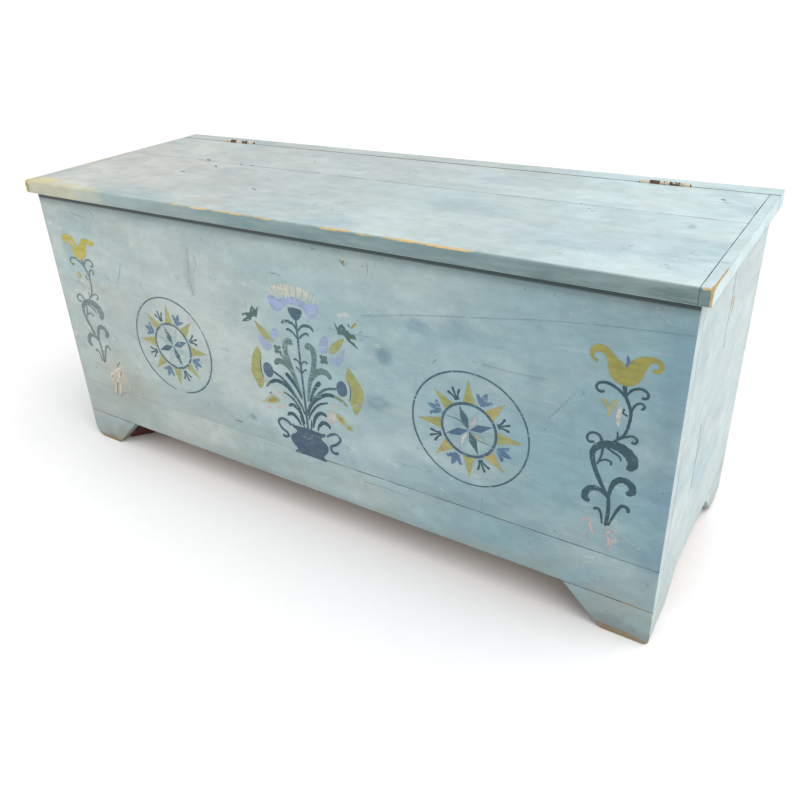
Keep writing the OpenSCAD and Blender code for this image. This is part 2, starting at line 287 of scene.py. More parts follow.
# Stains on the lid: x, y, radius along x, y and z in millimetres, colour and strength.
LID_STAINS = (
    (60, 3, 120, 14, 100, (0.52, 0.49, 0.32), 0.8),
    (30, 12, 32, 20, 100, (0.55, 0.47, 0.26), 0.8),
    (1, 0, 8, 5, 40, (0.15, 0.125, 0.055), 0.9),
    (320, 28, 50, 12, 100, (0.38, 0.36, 0.3), 0.42),
    (300, 90, 120, 60, 100, (0.4, 0.43, 0.42), 0.4),
    (230, 215, 60, 30, 100, (0.36, 0.43, 0.43), 0.4),
    (760, 90, 130, 50, 100, (0.4, 0.5, 0.55), 0.35),
    (620, 240, 140, 60, 100, (0.46, 0.57, 0.62), 0.4),
    (870, 268, 10, 6, 100, (0.25, 0.33, 0.36), 0.6),
    (865, 160, 6, 12, 100, (0.27, 0.34, 0.36), 0.5),
)
# Each stain, one of them partly painted shade: centre, radius along x, y and z, colour and strength.
STAINS = {
    "front": [(front_spot(x, z), (wide * MM, 0.2, tall * MM), colour, strength)
              for x, z, wide, tall, colour, strength in FRONT_STAINS_AND_SHADE],
    "lid": [(lid_spot(x, y), (wide * MM, deep * MM, tall * MM), colour, strength)
            for x, y, wide, deep, tall, colour, strength in LID_STAINS],
    "end": (
        ((0.452, 0.10, 0.22), (0.1, 0.10, 0.12), (0.50, 0.56, 0.56), 0.35),
        ((0.452, -0.11, 0.34), (0.1, 0.03, 0.07), (0.30, 0.40, 0.43), 0.35),
    ),
    "back": (),
}


def paint_group(tone, axis):
    """The old milk paint: colour that drifts along X, clouding, brush marks, scuffs and grime."""
    group = bpy.data.node_groups.new("old_paint_" + tone + "_" + axis, "ShaderNodeTree")
    for name, kind in (("Color", "Color"), ("Roughness", "Float"), ("Height", "Float")):
        group.interface.new_socket(name=name, in_out="OUTPUT", socket_type="NodeSocket" + kind)
    out = group.nodes.new("NodeGroupOutput").inputs
    n = Nodes(group, axis)
    left, middle, right = TONES[tone]
    run = n.add(n.x, n.fit(n.noise(2.6, 2, 3), 0.3, 0.7, -0.14, 0.14, False))
    colour = n.mix(n.fit(run, -0.42, 0.02), left, middle)
    colour = n.mix(n.fit(run, 0.0, 0.40), colour, right)

    # Clouds of chalk, blue and tan.
    cloud = n.noise((6, 9), 6, 11, 0.62)
    for veil, low, high, most, tint in (
            (cloud, 0.42, 0.64, 0.34, (0.54, 0.60, 0.57)),
            (n.noise((6, 9), 5, 27, 0.6), 0.50, 0.68, 0.36, (0.18, 0.33, 0.40)),
            (n.noise((7, 12), 5, 41, 0.62), 0.56, 0.74, 0.24, (0.48, 0.45, 0.36))):
        colour = n.mix(n.fit(veil, low, high, 0, most), colour, tint)
    ragged = n.noise(17, 4, 91, 0.62)
    for stain in STAINS[tone]:
        colour = n.stain_and_shade(colour, ragged, *stain)

    # Daubs, scrubbed patches, streaks and fine grain, each from dark to light.
    scrub = n.noise((46, 78), 5, 57, 0.68)
    streak = n.noise((3, 40), 4, 5, 0.62)
    fine = n.noise((20, 420), 3, 2, 0.65)
    for marks, low, high, dark, light in (
            (n.noise((20, 34), 3, 47, 0.5), 0.45, 0.55, 0.962, 1.030),
            (scrub, 0.36, 0.64, 0.94, 1.055),
            (streak, 0.30, 0.70, 0.965, 1.03),
            (fine, 0.30, 0.70, 0.970, 1.028)):
        colour = n.mix(1.0, colour, n.grey(marks, low, high, dark, light), "MULTIPLY")
    brush = n.noise((14, 150), 4, 8, 0.6)
    colour = n.mix(n.fit(brush, 0.62, 0.72, 0, 0.16), colour, (0.62, 0.67, 0.65))

    # Dark specks, pale chips, smudges, and grime near the floor.
    few = SPECKS[tone]
    spots = n.times(n.fit(n.noise(170, 2, 17), 0.66, 0.71), n.fit(n.noise(14, 2, 33), 0.60 - few, 0.72 - few))
    chips = n.times(n.fit(n.noise((60, 110), 4, 73, 0.6), 0.64, 0.67), n.fit(n.noise(8, 2, 37), 0.50, 0.62))
    smudge = n.fit(n.noise((19, 27), 4, 63, 0.6), 0.665, 0.73, 0, 0.36)
    scum = n.fit(n.noise((13, 24), 5, 71, 0.65), 0.36, 0.62)
    grime = n.times(n.fit(n.z, 0.0, 0.15, 1, 0), scum, GRIME[tone])
    for amount, tint in ((n.times(spots, 0.60), (0.12, 0.14, 0.14)),
                         (n.times(chips, 0.45), (0.60, 0.60, 0.53)),
                         (smudge, (0.15, 0.24, 0.29)), (grime, (0.29, 0.31, 0.27))):
        colour = n.mix(amount, colour, tint)
    n.plug(colour, out["Color"])

    shine = n.fit(cloud, 0.3, 0.7, 0.50, 0.66, False)
    n.plug(n.add(shine, n.fit(fine, 0.3, 0.7, -0.05, 0.06)), out["Roughness"])
    height = n.add(n.add(n.times(fine, 0.45), n.times(streak, 0.7)), n.times(scrub, 0.5))
    n.plug(n.minus(height, n.add(spots, chips)), out["Height"])
    return group


def hand_dirt(n, coat):
    """Dirt on the lid's front edge, darker to the right and along the bottom."""
    skin = n.fit(n.y, STRIP_LOW.y + 0.0026, STRIP_LOW.y + 0.0004)
    dirt = n.fit(n.noise((9, 9, 60), 5, 83, 0.65), 0.34, 0.66, 0.72, 1)
    handled = n.fit(n.x, -0.44, -0.02, 0.22, 1)
    soot = n.mix(n.fit(n.x, 0.20, 0.42), (0.150, 0.232, 0.236), (0.105, 0.165, 0.165))
    bottom = n.fit(n.z, LID_LOW.z + 0.009, LID_LOW.z + 0.001, 0, 0.20)
    return n.mix(n.times(skin, dirt, handled), coat, n.mix(bottom, soot, (0.05, 0.08, 0.08)))


def under_lid_dirt_and_painted_shadow(n, coat):
    """A haze of dirt and painted shade under the lid's overhang, and a dark painted shadow line right under
    it.
    """
    dirt_and_shade_haze = n.fit(n.z, LID_LOW.z - 0.0190, LID_LOW.z - 0.0060, 0, 0.50)
    # The dark line is a painted shadow of the lid's overhang.
    line = n.fit(n.z, LID_LOW.z - 0.0085, LID_LOW.z - 0.0058, 0, 0.85)
    return n.mix(line, n.mix(dirt_and_shade_haze, coat, (0.090, 0.130, 0.140)), (0.025, 0.040, 0.042))


def hand_wear(n, start, end, extra):
    """Extra width of bare edge along the top of the lid's front edge, from start to end."""
    stretch = n.times(n.fit(n.x, start, start + 0.06), n.fit(n.x, end, end - 0.12))
    front = n.fit(n.y, STRIP_LOW.y + 0.0070, STRIP_LOW.y + 0.0020)
    upper = n.fit(n.z, LID_HIGH.z - 0.0036, LID_HIGH.z - 0.0016)
    return n.times(stretch, front, upper, extra)


def board_paint(name, tone, axis, wear, heavy=None, foot_wear=0.0, handled=False, corner_wear=0.0,
                joint_left=0.9, opens_at=-0.12, least=0.0):
    """Old paint on a board, worn to warm bare wood along its edges.

    heavy is (low x, high x, extra width): a stretch where hands and clothes have
    worn the front edge further. foot_wear is the height of bare, dirty wood at the
    floor. handled says that hand dirt darkens the lid's front edge. corner_wear is
    the extra wear at the front ends of the lid's strips. joint_left is how dark the
    joints are at the left, where paint has filled them; they open to the right of
    opens_at. least is the least width of bare edge."""
    n = Material(name, axis, 0.0005)
    paint = n.paint(tone, axis)
    wood = n.wood((0.42, 0.285, 0.115), (0.74, 0.57, 0.27))[0]
    coat = paint["Color"]
    if handled:
        coat = hand_dirt(n, coat)
    # The front gets dirt and a painted shadow under the lid's overhang.
    if tone == "front":
        coat = under_lid_dirt_and_painted_shadow(n, coat)
    gap = n.noise(26, 4, 77, 0.7)
    run = n.add(n.x, n.fit(gap, 0.3, 0.7, -0.12, 0.12, False))
    dirt_width = n.fit(gap, 0.32, 0.66, 0.0003, 0.0008)
    dirt = n.fit(n.joint_distance(), n.times(dirt_width, 0.6), dirt_width, 0.92, 0)
    open_joint = n.fit(run, opens_at, opens_at + 0.25, joint_left, 1)
    coat = n.mix(n.times(dirt, open_joint), coat, (0.055, 0.075, 0.085))

    ragged = n.noise((34, 150), 5, 13, 0.7)
    width = n.fit(n.noise(7.5, 4, 23, 0.6), 0.46, 0.70, least, wear * 2.2)
    if corner_wear:
        near_corner = n.fit(n.y, STRIP_LOW.y + 0.045, STRIP_LOW.y + 0.004)
        width = n.add(width, n.times(near_corner, corner_wear))
    if heavy:
        width = n.add(width, hand_wear(n, *heavy))
    reach = n.times(width, n.fit(ragged, 0.34, 0.70, 0, 1.9, False))
    bare = n.fit(n.edge_distance(), n.times(reach, 0.75), reach, 1, 0)
    if foot_wear:
        line = n.times(n.fit(ragged, 0.3, 0.7, 0.3, 1.7), foot_wear)
        bare = n.calc("MAXIMUM", bare, n.fit(n.z, n.times(line, 0.6), line, 0.85, 0))
        wood = n.mix(n.fit(n.z, 0.004, 0.03, 0.80, 0), wood, (0.150, 0.095, 0.050))
    rough = n.add(paint["Roughness"], n.times(bare, 0.12))
    height = n.minus(paint["Height"], n.times(bare, 0.8))
    return n.finish(n.mix(bare, coat, wood), rough, height, 0.42)


def raw_pine(name, axis, dark, light, stain=0.35):
    """Unpainted, age-darkened pine with stains, saw marks and knots."""
    n = Material(name, axis, 0.0006)
    wood, rings = n.wood(dark, light)
    blotch = n.noise(7, 4, 51)
    saw = n.noise((190, 6), 2, 61)
    knot = n.noise((20, 30), 0, 87)
    for marks, low, high, most, shade, by in (
            (blotch, 0.46, 0.70, stain, dark, 0.45), (saw, 0.50, 0.70, 0.12, light, 1.12),
            (knot, 0.70, 0.80, 0.30, dark, 0.60), (knot, 0.795, 0.815, 0.70, dark, 0.30)):
        wood = n.mix(n.fit(marks, low, high, 0, most), wood, tuple(by * part for part in shade))
    return n.finish(wood, n.fit(blotch, 0.3, 0.7, 0.66, 0.84), n.add(rings, n.times(saw, 0.4)), 0.45)


def block_stain(name):
    """The maroon-brown stain on the glue blocks."""
    n = Material(name, "z", 0.0005)
    wood, rings = n.wood((0.060, 0.018, 0.014), (0.135, 0.045, 0.030))
    dust = n.noise(40, 4, 3)
    wood = n.mix(n.fit(dust, 0.52, 0.72, 0, 0.30), wood, (0.17, 0.13, 0.10))
    return n.finish(wood, n.fit(dust, 0.3, 0.7, 0.5, 0.8), rings)


def painted_nail(name, lid=False):
    """A nail head under the paint of the face it is in: rust bleeds through here and there."""
    n = Material(name)
    paint = n.paint("lid" if lid else "front", "x")
    colour = paint["Color"]
    if not lid:
        x, y = n.split(n.new("TexCoord").outputs["Normal"])[:2]
        on_end = n.fit(n.calc("ABSOLUTE", x), 0.4, 0.6)
        colour = n.mix(on_end, colour, n.paint("end", "y")["Color"])
        colour = n.mix(n.fit(y, 0.4, 0.6), colour, n.paint("back", "x")["Color"])
    bleed = n.noise(320, 4, 4, 0.7)
    rust = n.times(n.fit(bleed, 0.50, 0.66), n.fit(n.noise(9, 2, 14), 0.46, 0.62, 0.05, 0.60))
    rusty = n.mix(rust, colour, (0.17, 0.105, 0.060))
    return n.finish(rusty, paint["Roughness"], n.add(paint["Height"], bleed))


def old_iron(name, dark, light, paint, cover, metal=0.55):
    """Old iron, rusted and part covered by chipped paint. cover is how much paint is left."""
    n = Material(name)
    rust = n.noise(420, 5, 6, 0.7)
    iron = n.mix(n.fit(rust, 0.35, 0.65), dark, light)
    level = 0.5 + (0.5 - cover) * 0.34
    left = n.fit(n.noise(190, 5, 16, 0.65), level - 0.012, level + 0.012)
    colour = n.mix(n.fit(n.noise(120, 4, 26), 0.52, 0.70, 0, 0.45), n.mix(left, iron, paint), dark)
    n.plug(n.times(n.minus(1, left), metal), n.shader.inputs["Metallic"])
    return n.finish(colour, n.fit(rust, 0.3, 0.7, 0.42, 0.78), n.add(left, n.times(rust, 0.5)))


PINE_DARK = (0.335, 0.215, 0.115)
PINE_LIGHT = (0.50, 0.345, 0.190)
MATERIALS = {
    "front": board_paint("paint_front", "front", "x", 0.0007, joint_left=0.04),
    "front_foot": board_paint("paint_front_foot", "front", "x", 0.0009, foot_wear=0.007),
    "end": board_paint("paint_end", "end", "y", 0.0008),
    "end_foot": board_paint("paint_end_foot", "end", "y", 0.0010, foot_wear=0.006),
    "back": board_paint("paint_back", "back", "x", 0.0012),
    "back_foot": board_paint("paint_back_foot", "back", "x", 0.0014, foot_wear=0.008),
    "lid": board_paint("paint_lid", "lid", "x", 0.0007, (-0.22, 0.31, 0.0020), handled=True,
                       joint_left=0.20, opens_at=-0.36, least=0.00015),
    "strip": board_paint("paint_strip", "lid", "y", 0.0010, handled=True, corner_wear=0.0016),
    "worn_strip": board_paint("paint_worn_strip", "lid", "y", 0.0024, handled=True, corner_wear=0.0034,
                              least=0.0007),
    "rail": board_paint("paint_rail", "lid", "x", 0.0009),
    "pine_x": raw_pine("bare_pine_x", "x", PINE_DARK, PINE_LIGHT),
    "pine_y": raw_pine("bare_pine_y", "y", PINE_DARK, PINE_LIGHT),
    "pine_dark": raw_pine("bare_pine_dark", "x", (0.20, 0.125, 0.070), (0.40, 0.275, 0.160), 0.5),
    "block": block_stain("block_stain"),
    "nail_wall": painted_nail("nail_wall"),
    "nail_lid": painted_nail("nail_lid", True),
    "hinge_cream": old_iron("hinge_cream", (0.085, 0.050, 0.030), (0.21, 0.135, 0.085),
                            (0.60, 0.535, 0.43), 0.80),
    "hinge_rust": old_iron("hinge_rust", (0.055, 0.038, 0.028), (0.20, 0.120, 0.070),
                           (0.42, 0.43, 0.40), 0.22),
    "pin": old_iron("hinge_pin", (0.040, 0.032, 0.028), (0.15, 0.110, 0.085), (0.30, 0.27, 0.22), 0.15),
    "screw": old_iron("screw_iron", (0.050, 0.040, 0.034), (0.17, 0.130, 0.100), (0.50, 0.44, 0.34), 0.30),
}


# ---------------------------------------------------------------- boards

SHARP = math.radians(30)
SLICE = 0.028        # spacing of the cuts that let a board's edges wander
EDGE_REACH = 0.0016  # how far from a face plane a bevel's own vertices lie
ON_PLANE = 0.0002    # how near a plane counts as on it


def index_of(side):
    """0, 1 or 2 for a side such as "-z", and whether it is the low side."""
    return "xyz".index(side[1]), side[0] == "-"


def plain_copy(node):
    """The CAD node's shape as a clean bmesh, with flat faces joined up again."""
    bm = bmesh.new()
    bm.from_mesh(frame["nodes"][node].data)
    bmesh.ops.remove_doubles(bm, verts=bm.verts, dist=0.00002)
    bmesh.ops.dissolve_limit(bm, angle_limit=math.radians(0.5), verts=bm.verts, edges=bm.edges)
    return bm


def soften(bm, width, shortest):
    """Rounds the long sharp edges."""
    edges = [edge for edge in bm.edges if edge.is_manifold and edge.calc_length() > shortest
             and edge.calc_face_angle() > SHARP]
    bmesh.ops.bevel(bm, geom=edges, offset=width, segments=2, profile=0.6, affect="EDGES", clamp_overlap=True)


def slice_along(bm, axis, low, high):
    """Cuts the board across its grain, so that its edges have points to move."""
    index = "xyz".index(axis)
    normal = Vector([1.0 if i == index else 0.0 for i in range(3)])
    count = int((high[index] - low[index]) / SLICE)
    for step in range(1, count):
        point = Vector(low)
        point[index] = low[index] + (high[index] - low[index]) * step / count
        bmesh.ops.bisect_plane(bm, geom=bm.verts[:] + bm.edges[:] + bm.faces[:],
                               plane_co=point, plane_no=normal, dist=0.000001)


def rub_edges(bm, low, high, wear, seam):
    """Moves the bevels' points inward by an uneven amount. Points on a face stay in that face."""
    for vert in bm.verts:
        place = vert.co.copy()
        near = []
        flat = 0
        for i in range(3):
            below = place[i] - low[i]
            above = high[i] - place[i]
            gap = min(below, above)
            if gap < -0.0001:
                near = []
                break
            if gap < 0.00001:
                flat += 1
            elif gap < EDGE_REACH:
                near.append((i, 1.0 if below < above else -1.0))
        if not near or flat + len(near) < 2:
            continue
        share = 1.0 if len(near) == 1 else 0.35
        for i, side in near:
            amount = wear * max(0.0, noise.noise(place * 23.0 + Vector((7.1, 3.3, 1.7))) + 0.35)
            amount += wear * 0.5 * max(0.0, noise.noise(place * 90.0))
            plane = low[i] if side > 0 else high[i]
            if seam and i == "xyz".index(seam[0]) and abs(plane - seam[1]) < ON_PLANE:
                amount = tight_seam(place.x)
            vert.co[i] += side * share * amount


def tight_seam(x):
    """Joints in the front and the lid have been filled by paint at the left and opened at the right."""
    openness = min(1.0, max(0.0, (x + 0.10) / 0.30))
    return -0.00030 + 0.00030 * openness + 0.00006 * noise.noise(Vector((x * 30.0, 0.3, 0.8)))


def new_piece(name, bm, materials):
    mesh = bpy.data.meshes.new(name)
    bm.to_mesh(mesh)
    bm.free()
    for layer in ("custom_normal", "sharp_edge", "sharp_face"):
        if layer in mesh.attributes:
            mesh.attributes.remove(mesh.attributes[layer])
    for material in materials:
        mesh.materials.append(material)
    mesh.shade_smooth()
    mesh.set_sharp_from_angle(angle=math.radians(32))
    piece = bpy.data.objects.new(name, mesh)
    bpy.context.scene.collection.objects.link(piece)
    return piece


def set_corner(mesh, name, value):
    layer = mesh.attributes.new(name, "FLOAT_VECTOR", "POINT")
    layer.data.foreach_set("vector", list(value) * len(mesh.vertices))


def in_joint(centre, normal, low, high, quiet):
    """Whether a face lies in one of the quiet sides, where it meets another board."""
    for side in quiet:
        index, is_low = index_of(side)
        sign, plane = (-1, low[index]) if is_low else (1, high[index])
        if normal[index] * sign > 0.95 and abs(centre[index] - plane) < 2 * ON_PLANE:
            return True
    return False


def worn_board(node, body, coat, bare, is_bare, axis="x", wear=0.0009, bevel=0.0006,
               low=None, high=None, seam=None, quiet=(), calm=(), end_coat=None):
    """A board with softened, uneven edges, which stands for the CAD node. is_bare says
    which faces, by centre and normal, never had paint. quiet names the sides, such as
    "+z", whose edges lie in a joint and so hold dirt and show no bare wood. calm names
    the sides whose edges are neither worn nor dirty. end_coat is the paint of the
    board's end grain, where the chest's ends carry on over it. seam is the axis and the
    plane of a tight joint."""
    box_low, box_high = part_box(node)
    low = Vector(low or box_low)
    high = Vector(high or box_high)
    bm = plain_copy(node)
    soften(bm, bevel, 0.0045)
    slice_along(bm, axis, low, high)
    rub_edges(bm, low, high, wear, seam)
    end_x = max(abs(low.x), abs(high.x)) - ON_PLANE
    for face in bm.faces:
        centre = face.calc_center_median()
        if is_bare(centre, face.normal):
            face.material_index = 1
        elif in_joint(centre, face.normal, low, high, quiet):
            face.material_index = 2
        elif end_coat and abs(centre.x) > end_x:
            face.material_index = 3
    names = [coat, bare, "pine_dark"] + ([end_coat] if end_coat else [])
    piece = new_piece("old_" + node, bm, [MATERIALS[name] for name in names])

    # The materials measure wear and joint dirt from these boxes. A side that is out of
    # one of them stands a metre away.
    away = Vector((1.0, 1.0, 1.0))
    corners = {"low": low.copy(), "high": high.copy(), "joint_low": low - away, "joint_high": high + away}
    for side in quiet + calm:
        index, is_low = index_of(side)
        corners["low" if is_low else "high"][index] += -1.0 if is_low else 1.0
    for side in quiet:
        index, is_low = index_of(side)
        corners["joint_low" if is_low else "joint_high"][index] = (low if is_low else high)[index]
    for name, corner in corners.items():
        set_corner(piece.data, name, corner)
    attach(piece, body)
    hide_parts(node)


def facing(axis, sign):
    """Faces that look along +axis or -axis are bare, and so are the boards' top edges."""
    index = "xyz".index(axis)

    def test(centre, normal):
        return normal[index] * sign > 0.5 or (normal.z > 0.7 and centre.z > FRONT_HIGH.z - 0.002)
    return test


def only_below(centre, normal):
    """The lid's boards are bare only on the underside."""
    return normal.z < -0.95 and centre.z < LID_LOW.z + 0.0004


def never(centre, normal):
    """Everything is painted."""
    return False


def wall_boards():
    for side, sign, joint_z, seam, calm in (("front", 1, FRONT_LOW.z, ("z", FRONT_LOW.z), ("-x", "+x")),
                                            ("back", -1, BACK_JOINT_Z, None, ())):
        upper_quiet = ("-z", "+z") if side == "front" else ("-z",)
        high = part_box(side + "_lower_board")[1]
        worn_board(side + "_upper_board", "case", side, "pine_x", facing("y", sign),
                   seam=seam, quiet=upper_quiet, calm=calm, end_coat="end")
        worn_board(side + "_lower_board", "case", side, "pine_x", facing("y", sign),
                   high=(high.x, high.y, joint_z), seam=seam, quiet=("-z", "+z"), calm=calm, end_coat="end")
    for side, sign in (("left", 1), ("right", -1)):
        worn_board(side + "_end_board", "case", "end", "pine_y", facing("x", sign),
                   "y", wear=0.0004, quiet=("-y", "+y", "-z", "+z"))
    for node in ("bottom_front_board", "bottom_rear_board"):
        worn_board(node, "case", "pine_dark", "pine_dark", never, wear=0.0003)


def feet():
    for side, sign in (("left", 1), ("right", -1)):
        for end, outward in (("front", 1), ("back", -1)):
            worn_board("foot_" + end + "_" + side, "case", end + "_foot", "pine_dark",
                       facing("y", outward), wear=0.0008, quiet=("+z",), end_coat="end_foot")
        for end in ("front", "back"):
            worn_board("side_foot_" + end + "_" + side, "case", "end_foot", "pine_dark",
                       facing("x", sign), "y", wear=0.0006, quiet=("+z", "-y", "+y"))
            worn_board("glue_block_" + end + "_" + side, "case", "block", "block", never,
                       "z", wear=0.0006)


def lid_boards():
    seam = ("y", LID_HIGH.y)
    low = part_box("lid_rear_board")[0]
    worn_board("lid_front_board", "lid", "lid", "pine_x", only_below, seam=seam,
               quiet=("+y", "-x", "+x", "-z"))
    worn_board("lid_rear_board", "lid", "lid", "pine_x", only_below,
               low=(low.x, LID_HIGH.y, low.z), seam=seam, quiet=("-y", "+y", "-x", "+x"))
    for side, inner, coat in (("left", "+x", "worn_strip"), ("right", "-x", "strip")):
        worn_board("lid_" + side + "_strip", "lid", coat, "pine_y", only_below, "y",
                   wear=0.0008, bevel=0.0005, quiet=(inner, "+y", "-z"))
    worn_board("back_rail", "case", "rail", "pine_x", only_below, wear=0.0008, quiet=("-y",))


def metal_copy(node, body, coat, width=0.00025):
    """A hinge part with its sharp edges eased."""
    bm = plain_copy(node)
    soften(bm, width, 0.0012)
    piece = new_piece("old_" + node, bm, [MATERIALS[coat]])
    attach(piece, body)
    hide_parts(node)


def hinges():
    for side in ("left", "right"):
        metal_copy(side + "_hinge_fixed_leaf", "case", "hinge_cream")
        metal_copy(side + "_hinge_moving_leaf", "lid", "hinge_rust")
        metal_copy(side + "_hinge_pin", "case", "pin", 0.0004)


def fixings():
    """Nails and screws keep the CAD's shape and get their materials."""
    coats = {"rail_nails": "nail_lid", "lid_strip_nails": "nail_lid"}
    for group in ("front", "back", "bottom", "foot"):
        coats[group + "_nails"] = "nail_wall"
    for side in ("left", "right"):
        for part in ("rail", "lid"):
            coats[side + "_hinge_" + part + "_screws"] = "screw"
    for node, coat in coats.items():
        for holder in frame["nodes"][node].material_slots:
            holder.material = MATERIALS[coat]


wall_boards()
feet()
lid_boards()
hinges()
fixings()


# ---------------------------------------------------------------- painted decoration

# Each brush stroke is a thin closed solid on the front face. Strokes of one motif
# and one pigment are joined into one piece. Points are in millimetres from the
# front's lower left corner on the floor, x then z, one pair after another.
PAINT_LIFT = 0.00016    # how far a stroke stands out from the face
LAYER_LIFT = 0.0000008  # each later stroke stands this much further out
PAINT_SINK = 0.00004    # how far its back is let into the face
LINE_STEP = 1.3         # spacing of points along a stroke
ROUND_TIP = (0.03, 0.15, 0.4, 0.75, 1.0)  # where a stroke's round ends have points
motifs = {}
strokes_drawn = [0]


def pairs(numbers):
    """Points from x, z, x, z and so on. Points that are already pairs stay as they are."""
    if isinstance(numbers[0], tuple):
        return list(numbers)
    return list(zip(numbers[::2], numbers[1::2]))


def smooth_line(points, closed=False, per_span=9):
    """A Catmull-Rom curve through the points."""
    points = [Vector(point) for point in points]
    count = len(points)
    line = []
    for i in range(count if closed else count - 1):
        b, c = points[i], points[(i + 1) % count]
        a = points[i - 1] if closed or i > 0 else b * 2 - c
        d = points[(i + 2) % count] if closed or i + 2 < count else c * 2 - b
        for step in range(per_span):
            t = step / per_span
            line.append(0.5 * (2 * b + (c - a) * t + (2 * a - 5 * b + 4 * c - d) * t * t
                               + (3 * b - a - 3 * c + d) * t ** 3))
    if not closed:
        line.append(points[-1])
    return line


def walk(line, stops):
    """Points of the line at these distances from its start."""
    found = []
    travelled = 0.0
    index = 0
    for stop in stops:
        while index < len(line) - 2 and travelled + (line[index + 1] - line[index]).length < stop:
            travelled += (line[index + 1] - line[index]).length
            index += 1
        span = (line[index + 1] - line[index]).length or 1.0
        found.append(line[index].lerp(line[index + 1], min(1.0, (stop - travelled) / span)))
    return found


def profile(widths, t):
    """The brush's width a fraction t of the way along."""
    place = t * (len(widths) - 1)
    index = min(int(place), len(widths) - 2)
    ease = place - index
    return widths[index] * (1 - ease) + widths[index + 1] * ease


def motif(key):
    """The bmesh that this motif's strokes of this pigment go into, and the stroke's lift."""
    if key not in motifs:
        motifs[key] = bmesh.new()
    strokes_drawn[0] += 1
    return motifs[key], PAINT_LIFT + LAYER_LIFT * strokes_drawn[0]


def on_face(key, point, lift):
    """A point on the front, or on the lid's top or the right end for their own marks."""
    if key.startswith("end"):
        return Vector((FRONT_HIGH.x + lift, FACE_Y + point[0] * MM, point[1] * MM))
    if key.startswith("lid"):
        return Vector(lid_spot(point[0], point[1])) + Vector((0.0, 0.0, lift))
    return Vector(front_spot(point[0], point[1])) - Vector((0.0, lift, 0.0))


def stroke(key, widths, *numbers, closed=False, shift=(0.0, 0.0)):
    """A brush stroke of changing width with round ends."""
    bm, lift = motif(key)
    points = [(x + shift[0], z + shift[1]) for x, z in pairs(numbers)]
    widths = widths if len(widths) > 1 else (widths[0], widths[0])
    line = smooth_line(points, closed)
    if closed:
        line.append(line[0])
    total = sum((b - a).length for a, b in zip(line, line[1:]))
    start, end = widths[0] / 2, widths[-1] / 2
    steps = max(3, int(total / LINE_STEP))
    stops = [total * i / steps for i in range(steps + 1)]
    if not closed:
        tips = [start * part for part in ROUND_TIP] + [total - end * part for part in ROUND_TIP]
        inner = [stop for stop in stops if start < stop < total - end]
        stops = sorted(set([0.0, total] + tips + inner))
    spine = walk(line, stops)
    rings = []
    for i, (stop, point) in enumerate(zip(stops, spine)):
        before, after = spine[max(i - 1, 0)], spine[min(i + 1, len(spine) - 1)]
        if closed and i in (0, len(spine) - 1):
            before, after = spine[-2], spine[1]
        way = (after - before).normalized()
        side = Vector((-way.y, way.x))
        half = profile(widths, stop / total) / 2
        half *= 1 + 0.07 * math.sin(stop * 0.9 + points[0][0]) + 0.04 * math.sin(stop * 2.3 + points[0][1])
        if not closed:
            for radius, gone in ((start, stop), (end, total - stop)):
                if gone < radius:
                    reach = radius - gone
                    squared = max(radius * radius - reach * reach, 0.0025 * radius * radius)
                    half = min(half, math.sqrt(squared))
        left, right = point + side * half, point - side * half
        corners = ((left, lift), (right, lift), (right, -PAINT_SINK), (left, -PAINT_SINK))
        rings.append([bm.verts.new(on_face(key, spot, height)) for spot, height in corners])
    if closed:
        for vert in rings.pop():
            bm.verts.remove(vert)
        rings.append(rings[0])
    for near, far in zip(rings, rings[1:]):
        for i in range(4):
            bm.faces.new((near[i], near[(i + 1) % 4], far[(i + 1) % 4], far[i]))
    if not closed:
        bm.faces.new(rings[0])
        bm.faces.new(rings[-1])


def strokes(key, *marks, shift=(0.0, 0.0)):
    """Several strokes of one motif and pigment, each its widths and then its points."""
    for widths, *numbers in marks:
        stroke(key, widths, *numbers, shift=shift)


def patch(key, *numbers, smooth=True):
    """A filled shape, from the points round its outline."""
    bm, lift = motif(key)
    points = pairs(numbers)
    outline = smooth_line(points, True, 6) if smooth else [Vector(point) for point in points]
    front = [bm.verts.new(on_face(key, point, lift)) for point in outline]
    back = [bm.verts.new(on_face(key, point, -PAINT_SINK)) for point in outline]
    bm.faces.new(front)
    bm.faces.new(back)
    for i in range(len(outline)):
        j = (i + 1) % len(outline)
        bm.faces.new((front[i], front[j], back[j], back[i]))


def polar(centre, radius, angle):
    turn = math.radians(angle)
    return (centre[0] + radius * math.cos(turn), centre[1] + radius * math.sin(turn))


def arc(centre, radius, start, end, steps=24, uneven=0.35):
    """Points on a circle drawn by hand, a little uneven."""
    points = []
    for i in range(steps + 1):
        angle = start + (end - start) * i / steps
        points.append(polar(centre, radius + uneven * math.sin(math.radians(angle * 3 + centre[0])), angle))
    return points


def kite(key, centre, angle, start, middle, lean, tip):
    """A pointed lozenge that grows outward from the centre."""
    patch(key, polar(centre, start, angle), polar(centre, middle, angle - lean), polar(centre, tip, angle),
          polar(centre, middle, angle + lean), smooth=False)


